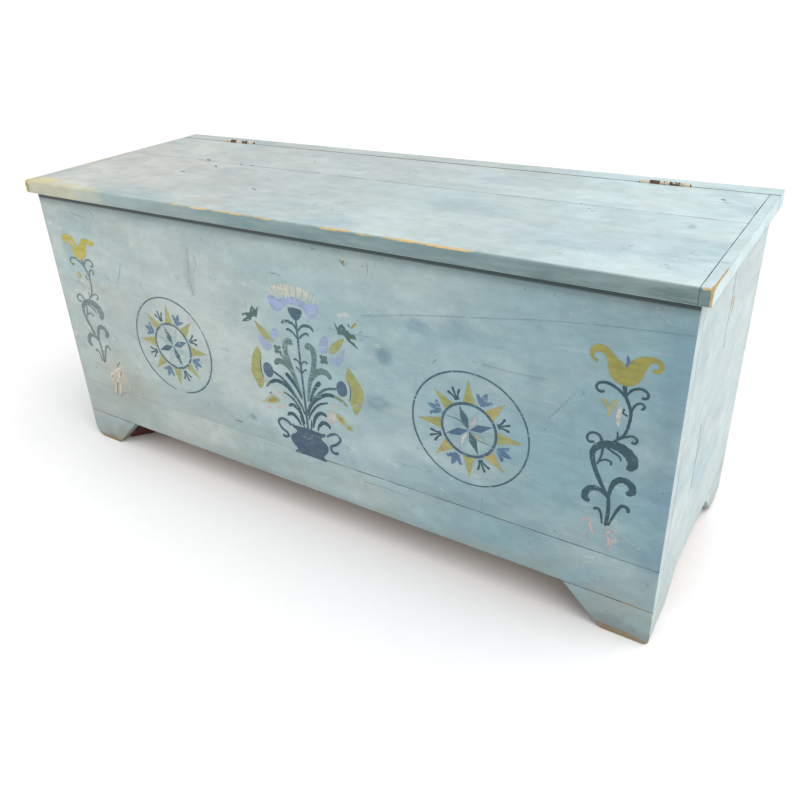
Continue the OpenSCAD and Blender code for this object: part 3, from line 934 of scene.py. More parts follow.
def roundel(name, centre, bluer, gaps, warm=(), half_tints=()):
    """A ring with a rayed star, sprigs and small tulips. bluer says which of the star's
    points are bluer, gaps are the outer ring's strokes, warm the rays of a warmer
    gold, and half_tints the pale points with colour left on one side."""
    for start, end, widths in gaps:
        stroke(name + ".ring", widths, *arc(centre, 71.3, start, end))
    stroke(name + ".ring", (3.2, 3.6, 3.0, 3.7, 3.3), *arc(centre, 33.2, 0, 345, 23), closed=True)
    for ray in range(8):
        angle = 45 * ray
        tip = (65.5, 61.0, 63.0, 60.5)[ray % 4]
        pigment = ".warm_gold" if ray in warm else ".dull_gold"
        patch(name + pigment, polar(centre, 34.6, angle - 12.5), polar(centre, tip, angle + 1),
              polar(centre, 34.6, angle + 12.5), polar(centre, 35.6, angle), smooth=False)
    for quarter in range(4):
        angle = 22.5 + 90 * quarter
        pigment = ".blue_slate" if quarter in bluer else ".slate"
        kite(name + pigment, centre, angle, 1.0, 14.5, 20, 30.8)
        for lean, reach, thick in ((-9, 50.0, 3.2), (0, 53.5, 3.0), (9, 50.5, 3.2)):
            stroke(name + ".leaf", (1.5, 2.1, thick), polar(centre, 37.5, angle + lean * 0.2),
                   polar(centre, 44, angle + lean * 0.5), polar(centre, reach, angle + lean))
        stroke(name + ".leaf", (1.7,), polar(centre, 38.5, angle - 5), polar(centre, 38.5, angle + 5))
        angle = 67.5 + 90 * quarter
        kite(name + ".mist", centre, angle, 1.0, 15, 17, 30.6)
        if quarter < len(half_tints) and half_tints[quarter]:
            patch(name + "." + half_tints[quarter], polar(centre, 3, angle), polar(centre, 14, angle - 15),
                  polar(centre, 24, angle), smooth=False)
        if quarter % 2 and half_tints:
            stroke(name + ".slate", (0.4, 0.9, 0.4), polar(centre, 30.6, angle),
                   polar(centre, 15, angle - 17), polar(centre, 3, angle))
        small_tulip(name + ".blue", centre, angle)


def small_tulip(key, centre, angle):
    """A tulip that grows outward, with a petal that curls over on each side."""
    turn = math.radians(angle)
    out = (math.cos(turn), math.sin(turn))

    def at(*numbers):
        return [(centre[0] + out[0] * radius - out[1] * across, centre[1] + out[1] * radius + out[0] * across)
                for radius, across in pairs(numbers)]
    stroke(key, (1.8, 2.6), *at(36.5, 0, 41.5, 0))
    patch(key, *at(40, -2, 43, -3.8, 47, -3.6, 51.5, -2.4, 55.5, 0, 51.5, 2.4, 47, 3.6, 43, 3.8, 40, 2))
    for side in (-1, 1):
        stroke(key, (3.4, 4.6, 3.8, 2.4),
               *at(40.4, side * 1.0, 43.6, side * 5.0, 47.6, side * 8.4, 46.6, side * 10.8))
        stroke(key, (1.6, 2.0), *at(39.0, side * 1.2, 38.6, side * 4.2))


def vine_stem(key, shift=(0.0, 0.0)):
    """A climbing stem of commas and tendrils."""
    strokes(key,
        ((4.4, 3.4, 3.2, 3, 2.8, 2.4, 2.2), 847, 309, 849.4, 297.5, 855.6, 283, 855.6, 270, 852.5, 256,
         843.8, 245.6, 840, 239),
        ((2, 2.8, 3.2, 3, 2.4, 3.2), 849, 296, 842.5, 302.5, 832.5, 307, 824, 306, 820.6, 301, 824, 296.5,
         829, 298),
        ((2, 2.8, 3, 2.6, 3), 850.6, 299, 855, 305.6, 863, 308.5, 869.4, 305.4, 869, 300, 864, 299),
        ((1.8, 2.4, 2.2, 2.8), 856, 281, 859, 290, 864.5, 293.6, 868, 290.4, 865, 286.6),
        ((1.6, 2, 2.4), 853.5, 276.5, 848.5, 279, 849.5, 283.6),
        ((1.8, 2.3, 2.3, 2.8), 843.8, 245.6, 852.5, 252.5, 860, 256, 865, 253.4, 863.4, 248.6, 859.4, 249),
        ((2, 2.2, 1.4), 841, 242.5, 846, 249, 845.4, 257),
        ((3.4, 4, 4.8, 5, 5.6, 7.4, 9, 11, 11.5, 7), 843.8, 176, 833.8, 194, 826, 211, 823, 226, 829, 236,
         841, 240.6, 853, 238.6, 861.5, 231.5, 863.6, 223, 859, 216.8),
        ((1.6, 2.2, 2.8, 2.8, 2.6, 2.4, 2.8), 829, 214, 832.6, 228, 831.6, 241, 827.6, 248.4, 820.4, 248.8,
         816.2, 243.4, 818.4, 237.8, 824, 239),
        ((1.6, 2.6, 2.2, 1.6), 836, 236, 844, 232.5, 850.5, 229, 852, 224.4),
        ((1.6, 2.2, 2.2, 1.8), 828.4, 216, 836, 221.5, 842.4, 220.6, 842.4, 216.4),
        ((2.6, 4, 5.6, 6.6, 7.4, 7.6, 6), 843.8, 177.5, 845, 189, 849, 199, 856.4, 203.4, 864.5, 200,
         866.6, 192.5, 861, 187.6),
        ((2.4, 4.4, 6, 7, 7.4, 5.6), 842.5, 177.5, 836, 183.4, 827.5, 184.4, 820.6, 178.5, 819.4, 169.6,
         825, 166.4),
        ((3.6, 4.2, 3.6), 843.8, 178.5, 845, 160, 843.8, 141.3),
        ((2, 2.6, 3.6, 4.2), 846.5, 142.5, 852, 160, 857.5, 171.5, 863.6, 171.4, 865.4, 166),
        ((1.8, 2.4, 2.6, 3.4), 840, 142.5, 838, 155, 834, 160.6, 829.6, 158.4),
        shift=shift)


def gold_tulip():
    """The tulip at the top of the right vine, and the small blossom below it."""
    patch("right_vine.gold", 845.6, 309, 838.5, 310.4, 833.6, 315.4, 830.4, 322, 829, 330, 824.4, 337,
        817.4, 337, 815.6, 332.2, 819.6, 329.4, 819, 327, 813, 330.4,
        811.2, 337.6, 815.6, 344.2, 823, 345.6, 831, 341.4,
        838, 334.6, 846.6, 327.6)
    patch("right_vine.gold", 845.6, 309, 846.4, 327.6, 852, 336.4, 860.6, 341.4, 870.6, 343, 878.6, 339.8,
        880.6, 333, 876.6, 327.6, 870.4, 328.6, 871.4, 331, 876, 332.6, 874.4, 337.4, 868.6, 336,
        864.6, 327, 861.4, 317.4, 855.6, 310.6)
    strokes("right_vine.blue",
        ((1.6, 3.6, 1.2), 847, 327.5, 848.2, 334, 846.6, 339.6),
        ((1.4, 0.8), 850.6, 331.5, 853.6, 335))
    patch("right_vine.pale_gold", 834.6, 273, 832.4, 280, 826.6, 287.4, 830.4, 290.2, 835.2, 284.6,
        839.4, 290.4, 843.4, 293, 841.6, 285.4, 838.6, 279.6, 837.6, 273.2)
    strokes("right_vine.lavender",
        ((1.2, 3), 840.4, 279, 838.4, 271.4),
        ((1.4, 2.6), 851, 271, 850.6, 264))
    stroke("right_vine.cream", (3.6, 4.2, 2), 846.4, 285, 844.4, 274, 845.6, 262.6)
    stroke("right_vine.pink", (1, 1.5), 845.6, 281, 844.6, 268)


def worn_tulip():
    """The brighter, simpler tulip on the left vine, and the ghost of a blossom."""
    patch("left_vine.yellow", 30.6, 341.6, 37.5, 345.7, 46, 346, 54, 344.4, 57.4, 337.5, 64, 330.4, 70, 338,
        76, 343.7, 87, 345, 98, 342.3, 98.6, 337.4, 93, 335.4, 88.4, 338.5, 84.3, 337.9, 80.6, 330.6,
        77.4, 321, 70.5, 314.1, 63.6, 312, 54, 314, 49.2, 321, 48, 329, 43, 336, 38.2, 335.4, 35.4, 330.4,
        32.7, 335.8)
    strokes("left_vine.orange",
        ((1.6, 5, 2), 44, 339, 51, 335, 55, 329),
        ((2.4, 4.6), 67, 318, 72, 322))
    patch("left_vine.pale_gold", 45.6, 283, 46.6, 289.4, 52, 291.4, 56.4, 287, 53.4, 282.4)


def right_pot_marks():
    """What is left of a pink pot under the right vine."""
    strokes("right_vine.pink",
        ((1.2, 2.8, 1), 818, 138, 824, 143.4, 829, 138.4),
        ((1.4, 3.4, 1), 826, 140, 830, 131, 832, 126),
        ((1.2, 2.6, 1), 843, 139.5, 849, 136.6, 845, 132),
        ((1.2, 4.2, 1.2), 845, 131, 849.6, 124, 848.2, 115.6),
        ((0.9, 1.8, 0.8), 852, 136, 852.6, 124, 850.4, 110))


def left_pot_marks():
    """Bare scratches where the left vine's pot has gone."""
    strokes("left_vine.chalk",
        ((0.9, 3.2, 4.6, 3.8, 1.2), 105, 151, 96, 145, 87, 139, 76, 131, 69, 123),
        ((1.2, 4.4, 1.6), 95, 140, 88, 127, 83, 117),
        ((1.4, 3.8, 1.2), 79, 114, 75, 104, 72, 97),
        ((0.8, 2, 0.8), 100, 137, 104, 126, 107, 118),
        ((0.8, 2.2, 0.8), 71, 137, 73, 127, 70, 116),
        ((0.8, 2.6, 0.9), 90, 117, 86, 108, 84, 98),
        ((0.8, 1.2), 111, 123, 109, 112))
    strokes("left_vine.umber",
        ((0.8, 2.4, 1), 99.4, 157, 94, 150.6, 88.8, 145.2),
        ((0.8, 1.7), 97, 140, 93.6, 131.6),
        ((1.2, 2.6), 75.4, 128, 72.4, 124.6),
        ((2, 2.4, 1.6, 0.8), 84, 117.6, 80.4, 112.8, 77.6, 104, 75, 92),
        ((0.5, 1, 0.8), 97, 102.4, 89, 99.6, 83.4, 92.4))


def urn():
    """The two-handled pot."""
    patch("urn.indigo", 428, 144.2, 434, 143, 454, 144, 474, 142.8, 481.4, 143.6, 479.6, 139, 474.6, 136.4,
        476, 132.4, 482.6, 128, 484.6, 121.6, 481.4, 114, 476, 107.6, 479.6, 102.8, 478, 101, 454, 101.6,
        431, 101.2, 429.4, 103.6, 433.4, 107.8, 426.6, 114.6, 423.4, 121.8, 426, 127.6, 432.8, 131.6,
        434.6, 136.6, 429.4, 139.4)
    strokes("urn.indigo",
        ((3, 3.6, 3.6, 3.4, 3.4, 3.6, 3.8, 4.4), 426.5, 141, 420, 146.4, 411.5, 147.6, 405, 141.6, 409, 133,
         417.5, 128, 419.6, 123.4, 414, 120.6, 409.6, 122.6),
        ((3, 3.6, 3.6, 3.4, 3.4, 3.6, 3.8, 4.4), 484, 140.6, 491, 146.4, 500, 148.2, 505, 142, 498, 133.4,
         489.6, 128, 489.8, 121.6, 495.4, 118.8, 500.4, 121.6))


def bouquet_stems():
    """The main stem, with its cup and its tendrils."""
    stroke("bouquet.slate", (3.6, 3, 2.7, 2.6), 454, 141, 453.6, 190, 452.8, 240, 452.6, 297)
    patch("bouquet.slate", 442.2, 309.6, 443, 303.6, 447.6, 297.6, 452.4, 295.4, 457.4, 297.6, 461.6, 303.4,
        462.4, 309.4, 457, 311, 447, 311)
    strokes("bouquet.slate",
        ((2, 3, 4, 3.6, 2.2), 452, 282.6, 448.4, 288.6, 440.6, 291.4, 433, 290.6, 429.4, 286.8),
        ((2, 3, 4, 3.6, 2.2), 454.4, 281.4, 459, 288, 466.4, 291.2, 474, 290.4, 477.8, 285.6),
        ((1.8, 2.8, 3.2, 2.2), 451.6, 271.6, 446, 277.6, 438.6, 281.2, 435.6, 278.8),
        ((1.8, 2.8, 3.2, 2.2), 454.6, 271.6, 460, 277.4, 467, 281, 470.2, 278.4),
        ((1.4, 2, 2.4), 451.8, 236, 448.4, 240.8, 444, 242, 443, 239.4),
        ((1.4, 2, 2.4), 454.2, 236, 457.6, 241, 462.2, 241.6, 463, 239),
        ((1.4, 2, 2.6), 451.8, 224.6, 448.8, 228.6, 445, 231.2),
        ((1.4, 2, 2.6), 454.2, 224.6, 457.4, 228.6, 461.4, 231))


def bouquet_leaves():
    """Leaves that fan out from the pot."""
    strokes("bouquet.sage",
        ((2.6, 5, 6.4, 7.2, 7, 8.4, 7.4), 450, 190, 441.6, 213, 434.6, 234, 430.4, 252, 432.6, 262.6,
         438.6, 264.6, 442.6, 260.4),
        ((2.6, 4.6, 6, 7, 7, 8.4, 7.6), 459, 186, 464.4, 212, 471, 231, 475.2, 250, 473, 262, 467.6, 264.4,
         463.4, 260.4),
        ((2.6, 6, 7, 7.4, 8, 6.4), 442, 216, 435.6, 225.4, 427, 232, 418, 233.2, 413, 229.4, 413.6, 226.4),
        ((2.6, 6.4, 7.8, 8.2, 8, 6), 466.6, 216, 472.6, 226.4, 481.6, 233.6, 490.4, 234.4, 496, 230,
         496, 226.4))
    strokes("bouquet.leaf",
        ((2, 3.6, 5.2, 6), 449.6, 186, 443, 200, 434.6, 211, 427, 218.6),
        ((2, 3.6, 5.2, 6), 462.4, 186, 467.4, 199.6, 474.4, 211, 481, 218.6),
        ((1.8, 3.2, 4, 4.6, 5.4, 5.2, 4.2, 1.8), 451.6, 164, 446.4, 178, 438.4, 188, 427.6, 198, 417.6, 202.8,
         407, 202.4, 397, 196, 391.4, 189.6),
        ((1.8, 3.2, 4, 4.6, 5.2, 4.6), 456.4, 164, 461.8, 178, 470.4, 189.4, 483, 199.8, 493, 204,
         503.4, 203.6),
        ((1.6, 3, 1.8), 445.6, 170.5, 433.6, 183.6, 420, 189.4),
        ((1.6, 3, 3.2, 1.8), 456.6, 158, 463, 171, 475.2, 185, 490.4, 192),
        ((1.8, 3.8, 5.2, 5.4, 3.6), 450, 149, 444.6, 165.4, 437.6, 172.4, 429.4, 173, 426.6, 169.6),
        ((1.8, 3.8, 5.2, 5.2, 3.6), 463, 147.5, 466.8, 162, 473.6, 171.2, 481.6, 174, 486.6, 171))
    stroke("bouquet.olive", (3.2, 5, 4.4, 1.6), 500.4, 204, 508, 202.4, 515.4, 198.8, 520.4, 195)
    strokes("bouquet.leaf",
        ((1.8, 4, 5.4, 5.6, 3.4), 443.4, 145.6, 439.4, 153.4, 432.6, 159.4, 425.4, 158.8, 423.6, 154.8),
        ((1.8, 4, 5.4, 5.4, 3.4), 470.4, 145.4, 472.8, 153, 480, 160.4, 487.6, 159.4, 490.6, 154.6),
        ((1.6, 2.6, 1.2), 448.6, 143, 446, 152, 442.6, 161),
        ((1.6, 2.6, 1.2), 459, 143, 460.6, 152, 461.4, 159.6))


def thistles():
    """Two round cups with gold crescents beyond them."""
    strokes("bouquet.slate",
        ((2, 3, 3.4, 3.4, 3.2), 450.6, 168.5, 442, 184, 431, 199.8, 419, 209.7, 405, 216),
        ((2, 3, 3.4, 3.4, 3.2), 455.2, 168.5, 463, 184, 473.4, 197.6, 488.4, 210.4, 507, 216))
    patch("bouquet.cup", 406, 216, 404, 208.4, 397.6, 205, 391.4, 209.4, 390, 217.6, 393, 224.4, 399.6, 226,
        405, 221.6)
    patch("bouquet.cup", 505.8, 217.2, 507.6, 209.6, 513.6, 207, 519.8, 211, 521.2, 218.6, 518.4, 226.2,
        512.6, 228.4, 507.4, 224)
    patch("bouquet.dull_gold", 383.6, 245.4, 378.4, 239.4, 374.6, 232.6, 370.8, 220.4, 369, 206.6, 373, 195.6,
        380.2, 185, 386.4, 191.4, 387.4, 201.6, 385, 210.6, 385.8, 220.6, 389, 231.6, 388.2, 240.6)
    patch("bouquet.dull_gold", 524.8, 248.6, 531.6, 241.6, 535, 238, 539.4, 231.6, 544.4, 223.4, 544.4, 211.4,
        541, 202.6, 537.4, 193.2, 530.8, 186.2, 527, 196.2, 524.4, 203.6, 527.2, 210.6, 527.4, 218.6,
        523.2, 228.4, 520.4, 235.4)
    strokes("bouquet.indigo",
        ((0.8, 1.4, 1.2, 0.8), 387.8, 230.6, 386.2, 220, 386.4, 210, 388.8, 202.6),
        ((0.8, 1.4, 1.2, 0.8), 523.6, 231.6, 526.4, 222, 525.6, 211, 523.6, 203.6))


def crown():
    """The lavender and cream flower at the top."""
    patch("bouquet.lavender", 412.8, 319.4, 413.6, 311.4, 418.6, 303.6, 425.6, 301.4, 431.6, 306, 437.6, 312,
        444.6, 315, 450.6, 316.4, 458, 315, 465.6, 311, 470.6, 304.6, 477.6, 302, 484.4, 308, 487.4, 318,
        481.4, 321.6, 472.6, 318.6, 465.4, 322.2, 456.4, 324.4, 446, 324.6, 436.6, 321.6, 428, 317.6,
        420, 321)
    for i in range(15):
        t = i / 14
        foot = (419.6 + 61.4 * t, 323.4 + 2 * math.sin(i * 2.1))
        fan = (t - 0.5) * 9
        tip = (foot[0] + fan, 332 + 8.6 * math.sin(math.pi * t) ** 0.6 + 1 * math.sin(i * 1.7))
        middle = ((foot[0] + tip[0]) / 2 + 0.8 * math.sin(i * 3), (foot[1] + tip[1]) / 2)
        stroke("bouquet.cream", (2.6, 4.4 + 0.6 * math.sin(i * 1.3), 4.6), foot, middle, tip)


def upper_tulips():
    """The half-worn tulips to the left and right of the crown, with their dark leaves."""
    patch("bouquet.lavender", 414, 276.4, 421.6, 276, 421, 268.4, 413.6, 262.6, 410, 267.6)
    patch("bouquet.lavender", 389.6, 263, 391, 252.4, 395.4, 244.6, 402.6, 243.6, 409, 252.6, 403, 255.4,
        397.4, 260.4)
    patch("bouquet.lavender", 497.4, 284, 489.4, 280.6, 484.6, 271.6, 484.4, 262.4, 490, 259.4, 495.6, 263.4,
        497.8, 272.6)
    patch("bouquet.lavender", 498.4, 250.6, 504.4, 246.4, 512, 249, 518.6, 259.6, 521.8, 274.6, 515.4, 263.6,
        507.6, 257.6, 500, 257.4)
    patch("bouquet.dull_gold", 385, 281.8, 391.6, 278.2, 399.6, 272.4, 406.4, 266, 412, 258.2, 405, 258.2,
        397.4, 262.6, 391, 269.6)
    patch("bouquet.dull_gold", 521.8, 285.6, 514, 282.6, 505.6, 276.4, 499.6, 269, 498, 262.4, 504.6, 262.6,
        511.6, 268.2, 517.6, 276.2)
    patch("bouquet.forest", 363.4, 276.2, 368.4, 281.4, 373.4, 284.2, 370.8, 288, 366, 284.2, 365.4, 287.6,
        373.4, 290.4, 377.6, 290.8, 380, 293.4, 381.4, 298.4, 384.2, 301.2, 388, 298.8, 388.8, 296.4,
        393.8, 302, 391.4, 291.8, 389.8, 287, 384.2, 287.4, 380.8, 285, 379.8, 281.4,
        372.6, 278.4, smooth=False)
    patch("bouquet.forest", 510, 305, 514.2, 297.8, 516.8, 301.8, 520.8, 304.6, 525, 300.8, 525.8, 297.6,
        529.2, 297.6, 532.4, 293.6, 537.6, 294.2, 540, 289.2, 535, 288, 532.6, 289.2, 531, 286, 536.8, 283.2,
        541.8, 277, 535, 280.4, 528.4, 284.2, 524.2, 289, 522.4, 290.6, 514.2, 290,
        512.4, 296.4, smooth=False)
    for x, z in ((384.6, 295.2), (519.8, 297.4)):
        stroke("bouquet.ghost", (2.8,), x - 0.8, z, x + 0.8, z + 0.4)
    for line in ((372, 296, 374.6, 304.4), (366, 294, 368.4, 299.6), (543, 297.4, 548.4, 301),
                 (544.4, 291.6, 550.4, 290.6)):
        stroke("bouquet.ghost", (1, 1.7, 0.8), *line)
    stroke("bouquet.gold", (1.4, 3.4, 1.4), 533.4, 301.2, 537.4, 306, 541, 309.6)
    stroke("bouquet.blue", (2.4, 1.2), 529.4, 306, 531.4, 302)


def florets():
    """Two small square rosettes, notched between their petals."""
    for centre in ((418.2, 249.4), (490, 251.6)):
        outline = []
        for corner in range(4):
            angle = 51 + 90 * corner
            outline += [polar(centre, 6.2, angle - 20), polar(centre, 7, angle),
                        polar(centre, 6.2, angle + 20), polar(centre, 4.2, angle + 45)]
        patch("bouquet.forest", *outline)
        for corner in range(4):
            x, z = polar(centre, 2.6, 50 + 90 * corner)
            stroke("bouquet.ghost", (1.3,), x, z, x + 0.7, z + 0.2)
    strokes("bouquet.sage",
        ((3.6, 4, 3), 430.6, 236, 426.6, 239.6, 422, 244),
        ((2.4, 2.8), 484, 246.4, 486.6, 248))


def worn_blossoms():
    """What is left of the two lowest flowers."""
    patch("bouquet.pale_gold", 379.4, 164.4, 386.4, 169, 391.6, 175, 399.4, 179.6, 409.6, 178.6, 411, 172.6,
        404.4, 168.4, 396, 166.4, 388, 165.6)
    patch("bouquet.gold", 391, 169, 396, 174.4, 402.6, 176.6, 407, 174.4, 402.6, 170.4, 396.4, 168.8)
    strokes("bouquet.pink",
        ((1.6, 3.4, 3.8, 1.4), 420.6, 174.6, 418, 168.6, 410.4, 164.6, 404, 161.4),
        ((1.2, 2.8, 1.2), 387, 158, 393.4, 160.6, 400, 159.6),
        ((2, 3.8, 1.8), 401.4, 183, 408.6, 187.6, 417.6, 184))
    strokes("bouquet.cream",
        ((1.4, 2.6, 1), 404.4, 186.4, 409, 186.8, 412.6, 185.4),
        ((1, 2.4), 413, 172.6, 417, 176.4))
    stroke("bouquet.blue", (1, 2.4), 394.6, 180.4, 399.4, 183.4)
    patch("bouquet.dust", 488.4, 175, 489, 180.6, 494.6, 182.6, 500.6, 181, 502.4, 172.4, 499.6, 165.6,
        493.4, 163.6, 489, 167.6)
    stroke("bouquet.dust", (1.6, 4.4, 1.8), 493, 187.6, 499.6, 191.4, 508.4, 190.4)
    for line in ((496, 180, 497.6, 175, 496.4, 170.6), (492, 178.4, 492.6, 171), (499.4, 179, 500, 173.4)):
        stroke("bouquet.cream", (0.8, 1.6, 0.8), *line)
    stroke("bouquet.pink", (1, 2.4, 1), 489.6, 172.4, 491, 166.8, 494.6, 164.6)
    patch("bouquet.pale_gold", 502.6, 180.4, 509.6, 180, 513.4, 174.6, 517.4, 169, 524.6, 166.6, 525, 162,
        518.6, 161.4, 511.6, 165.6, 505.6, 169, 502.8, 174.4)
    strokes("bouquet.gold",
        ((2.4, 5, 2.2), 505.4, 177, 509.4, 173, 512, 169),
        ((2.8, 3.4), 518.4, 164.8, 522.4, 164))


def end_marks():
    """A long upright check in the right end and the bare patch beside it."""
    strokes("end_marks.check",
        ((0.3, 0.8, 0.5, 0.7, 0.3), 148, 392, 149, 372, 150, 344, 147, 318, 148, 296),
        ((0.3, 0.6, 0.3), 96, 230, 99, 190, 97, 150))
    strokes("end_marks.ochre",
        ((1, 3, 1), 162, 350, 164, 338, 162.6, 330),
        ((0.8, 1.6), 152, 352, 153, 345))


def lid_marks():
    """Knots, dents and a dab of old white on the lid."""
    strokes("lid_marks.crack",
        ((1, 4.6, 1.6), 160, 199, 165, 196.6, 171, 195),
        ((1, 3.4, 1.2), 201, 173, 206, 169, 210, 166),
        ((1.6, 3.4), 180, 128, 186, 126.4),
        ((1, 3), 228, 195, 236, 191.6),
        ((1, 2.6), 250, 194, 258, 191),
        ((0.6, 1.8), 338, 96, 349, 90),
        ((0.5, 1.3), 322, 250, 327, 243),
        ((1, 3.2), 868, 269.6, 873, 266.6))
    strokes("lid_marks.chalk",
        ((0.8, 3.2, 1), 70, 120.4, 75, 118, 79, 115.4),
        ((0.6, 1.6), 905, 256, 908, 246))


def front_marks():
    """Cracks, scratches and knots in the front."""
    strokes("front_marks.hairline",
        ((0.3, 0.6, 0.5, 0.6), 548, 320.5, 585, 328, 620, 335, 680, 345),
        ((0.5, 0.4, 0.6, 0.3), 684, 345.4, 720, 351, 760, 357.6, 806, 363),
        ((0.5, 0.3, 0.4), 812, 364, 860, 368, 903, 371),
        ((0.2, 0.3, 0.2), 500, 295.4, 530, 295, 560, 296),
        ((0.2, 0.3, 0.2), 700, 295.4, 735, 294.4, 770, 295.6),
        ((0.4, 1, 0.3), 775, 252, 786, 267, 800, 287),
        ((0.3, 0.8, 0.3), 540, 91, 570, 91.8, 602, 91),
        ((0.3, 0.8), 283, 296, 280.4, 318),
        ((0.8, 0.5, 0.3), 280.6, 322, 283, 340, 286, 361),
        ((0.3, 0.8, 0.3), 292, 330, 297, 344, 293, 356),
        ((0.3, 1, 0.4), 412, 349, 424, 350.4, 436, 349),
        ((0.3, 0.8, 0.3), 134, 288, 141, 300, 149, 319),
        ((0.3, 0.6, 0.3), 705, 104, 701, 113, 702.6, 126),
        ((0.3, 1.2, 0.4), 64, 382, 78, 377.6, 94, 376.6),
        ((0.4, 1, 0.4), 104, 388, 110, 384, 112, 377),
        ((0.3, 0.7, 0.3), 560, 370, 561, 378, 560.6, 384))
    strokes("front_marks.crack",
        ((0.5, 1.8, 0.4), 326, 121, 334, 120, 340, 121.4),
        ((1.6, 0.6), 486, 388.6, 489, 390),
        ((0.4, 0.8, 0.3), 523.6, 382.6, 530, 376.6, 535, 380.4),
        ((0.4, 1), 861, 250, 862.6, 256),
        ((0.4, 1.1), 420, 349.6, 428, 350.4),
        ((0.4, 0.9), 640, 282, 644, 288))
    stroke("front_marks.umber", (3.6, 2.6), 527.4, 380, 530.6, 380.8)


# Pigment: colour, how much of it has worn through to the paint below.
PIGMENTS = {
    "ring": ((0.04, 0.086, 0.122), 0.24),
    "gold": ((0.268, 0.246, 0.052), 0.13),
    "dull_gold": ((0.288, 0.288, 0.092), 0.2),
    "warm_gold": ((0.345, 0.29, 0.092), 0.22),
    "cup": ((0.058, 0.102, 0.158), 0.2),
    "pale_gold": ((0.34, 0.31, 0.12), 0.38),
    "yellow": ((0.4, 0.345, 0.052), 0.12),
    "orange": ((0.48, 0.31, 0.11), 0.46),
    "faded_leaf": ((0.125, 0.165, 0.165), 0.26),
    "dust": ((0.45, 0.4, 0.36), 0.42),
    "slate": ((0.04, 0.092, 0.118), 0.2),
    "blue_slate": ((0.05, 0.105, 0.19), 0.2),
    "indigo": ((0.044, 0.078, 0.122), 0.18),
    "leaf": ((0.024, 0.066, 0.086), 0.14),
    "sage": ((0.088, 0.158, 0.152), 0.24),
    "forest": ((0.048, 0.106, 0.096), 0.22),
    "olive": ((0.17, 0.21, 0.09), 0.26),
    "mist": ((0.244, 0.355, 0.371), 0.34),
    "ghost": ((0.23, 0.33, 0.345), 0.46),
    "blue": ((0.058, 0.128, 0.225), 0.3),
    "lavender": ((0.265, 0.325, 0.5), 0.26),
    "cream": ((0.505, 0.49, 0.42), 0.42),
    "pink": ((0.52, 0.36, 0.33), 0.46),
    "chalk": ((0.58, 0.52, 0.43), 0.38),
    "umber": ((0.23, 0.15, 0.085), 0.3),
    "ochre": ((0.58, 0.4, 0.17), 0.3),
    "crack": ((0.105, 0.16, 0.18), 0.34),
    "hairline": ((0.21, 0.305, 0.33), 0.52),
    "check": ((0.32, 0.385, 0.39), 0.5),
}
ROUNDEL_FADE = {"left_roundel": 0.06}


def pigment_material(name, tone, colour, wear):
    """A thin pigment over the board's paint: streaked, flaked and rubbed along the grain."""
    n = Material(name)
    paint = n.paint(tone, "y" if tone == "end" else "x")
    thick = n.noise((60, 60, 140), 4, 12, 0.6)
    dark, light = (tuple(part * by for part in colour) for by in (0.88, 1.14))
    ink = n.mix(n.fit(thick, 0.34, 0.66), dark, light)
    area = n.fit(n.noise((16, 16, 30), 3, 32, 0.55), 0.3, 0.7, -0.07, 0.07, False)
    level = n.add(n.noise((150, 150, 420), 5, 22, 0.7), area)
    cut = 0.50 + (0.5 - wear) * 0.34
    gone = n.fit(level, cut - 0.03, cut + 0.07, 0, 0.85)
    veil = 0.02 + wear * wear * 0.9
    colour_out = n.mix(n.calc("MAXIMUM", gone, veil), ink, paint["Color"])
    height = n.minus(n.add(paint["Height"], thick), gone)
    return n.finish(colour_out, n.add(paint["Roughness"], 0.04), height, 0.35)


def draw_motifs():
    """Draws in order, because each later stroke lies over the ones before."""
    roundel("left_roundel", (225.4, 210.5), (0,),
            ((-82, 30, (2.0, 2.6, 2.4, 2.8, 1.4)), (26, 150, (1.2, 2.2, 1.8, 2.3)),
             (146, 262, (2.2, 2.0, 2.6, 1.2))))
    roundel("right_roundel", (684.3, 210.5), (0, 2),
            ((-100, 40, (1.4, 2.2, 1.9, 2.2)), (36, 170, (2.0, 1.8, 2.3, 1.9)),
             (166, 264, (2.0, 2.3, 1.8, 1.5))),
            warm=(1, 5, 7), half_tints=("pink", "", "chalk", "pale_gold"))
    vine_stem("right_vine.leaf")
    gold_tulip()
    vine_stem("left_vine.faded_leaf", (-782.5, 5.0))
    worn_tulip()
    right_pot_marks()
    left_pot_marks()
    bouquet_leaves()
    bouquet_stems()
    thistles()
    florets()
    upper_tulips()
    worn_blossoms()
    crown()
    urn()
    front_marks()
    lid_marks()
    end_marks()


def painted_pieces():
    """Makes a piece of each motif's strokes of one pigment."""
    for key, bm in motifs.items():
        group, pigment = key.split(".")
        tone = {"lid_marks": "lid", "end_marks": "end"}.get(group, "front")
        colour, wear = PIGMENTS[pigment]
        wear = min(0.62, wear + ROUNDEL_FADE.get(group, 0.0))
        bmesh.ops.recalc_face_normals(bm, faces=bm.faces)
        bmesh.ops.triangulate(bm, faces=[face for face in bm.faces if len(face.verts) > 4])
        material = pigment_material("pigment_" + group + "_" + pigment, tone, colour, wear)
        piece = new_piece("painted_" + group + "_" + pigment, bm, [material])
        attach(piece, "lid" if group == "lid_marks" else "case")
        {"lid_marks": "lid_paint", "end_marks": "end_paint"}.get(group, "front_paint")


draw_motifs()
painted_pieces()


# ---------------------------------------------------------------- floor, light and camera

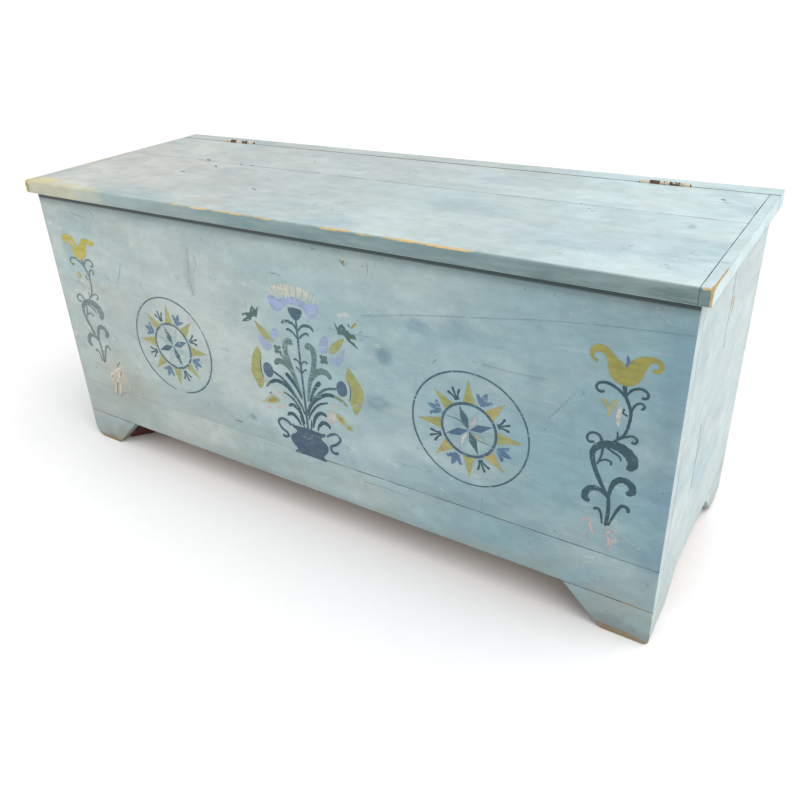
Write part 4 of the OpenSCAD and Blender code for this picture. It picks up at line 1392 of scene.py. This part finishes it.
FLOOR_HALF = 30.0
SKY_STRENGTH = 0.60
SUN_STRENGTH = 2.7
SUN_ANGLE = 75
SUN_FROM = Vector((0.62, -0.06, 0.78))
FILL_PLACE = Vector((-0.85, -1.10, 0.75))
FILL_TARGET = Vector((-0.35, -0.15, 0.2))
FILL_POWER = 3.0
EYE = (0.5716, -0.8192, 0.6715)
EYE_ANGLES = (61.429, 2.631, 32.999)
LENS = 35.54
SHIFT = (0.0237, -0.0168)


def floor():
    n = Material("studio_floor", depth=0.0002)
    paper = n.noise(60, 3, 1)
    colour = n.mix(paper, (0.84, 0.84, 0.84), (0.87, 0.87, 0.87))
    material = n.finish(colour, n.fit(paper, 0.3, 0.7, 0.80, 0.90), paper, 0.05)
    bm = bmesh.new()
    bmesh.ops.create_grid(bm, x_segments=4, y_segments=4, size=FLOOR_HALF)
    mesh = bpy.data.meshes.new("studio_floor")
    bm.to_mesh(mesh)
    bm.free()
    mesh.materials.append(material)
    piece = bpy.data.objects.new("studio_floor", mesh)
    bpy.context.scene.collection.objects.link(piece)


def add_lamp(light, place, away):
    """Adds a lamp that shines against the direction away."""
    lamp = bpy.data.objects.new(light.name, light)
    lamp.location = place
    lamp.rotation_euler = away.to_track_quat("Z", "Y").to_euler()
    bpy.context.scene.collection.objects.link(lamp)


def studio_light():
    world = bpy.data.worlds.new("studio")
    bpy.context.scene.world = world
    world.use_nodes = True
    background = world.node_tree.nodes["Background"].inputs
    background["Color"].default_value = (1.0, 1.0, 1.0, 1.0)
    background["Strength"].default_value = SKY_STRENGTH
    sun = bpy.data.lights.new("key", "SUN")
    sun.energy = SUN_STRENGTH
    sun.angle = math.radians(SUN_ANGLE)
    add_lamp(sun, (0.0, 0.0, 0.0), SUN_FROM.normalized())
    soft = bpy.data.lights.new("left_fill", "AREA")
    soft.shape = "DISK"
    soft.size = 0.9
    soft.energy = FILL_POWER
    add_lamp(soft, FILL_PLACE, FILL_PLACE - FILL_TARGET)


def camera():
    data = bpy.data.cameras.new("camera")
    data.lens = LENS
    data.sensor_width = 36.0
    data.shift_x, data.shift_y = SHIFT
    data.dof.use_dof = False
    data.clip_start = 0.01
    data.clip_end = 100.0
    eye = bpy.data.objects.new("camera", data)
    eye.location = EYE
    eye.rotation_euler = tuple(math.radians(angle) for angle in EYE_ANGLES)
    bpy.context.scene.collection.objects.link(eye)
    bpy.context.scene.camera = eye


floor()
studio_light()
camera()
bpy.context.scene.view_settings.view_transform = "Standard"
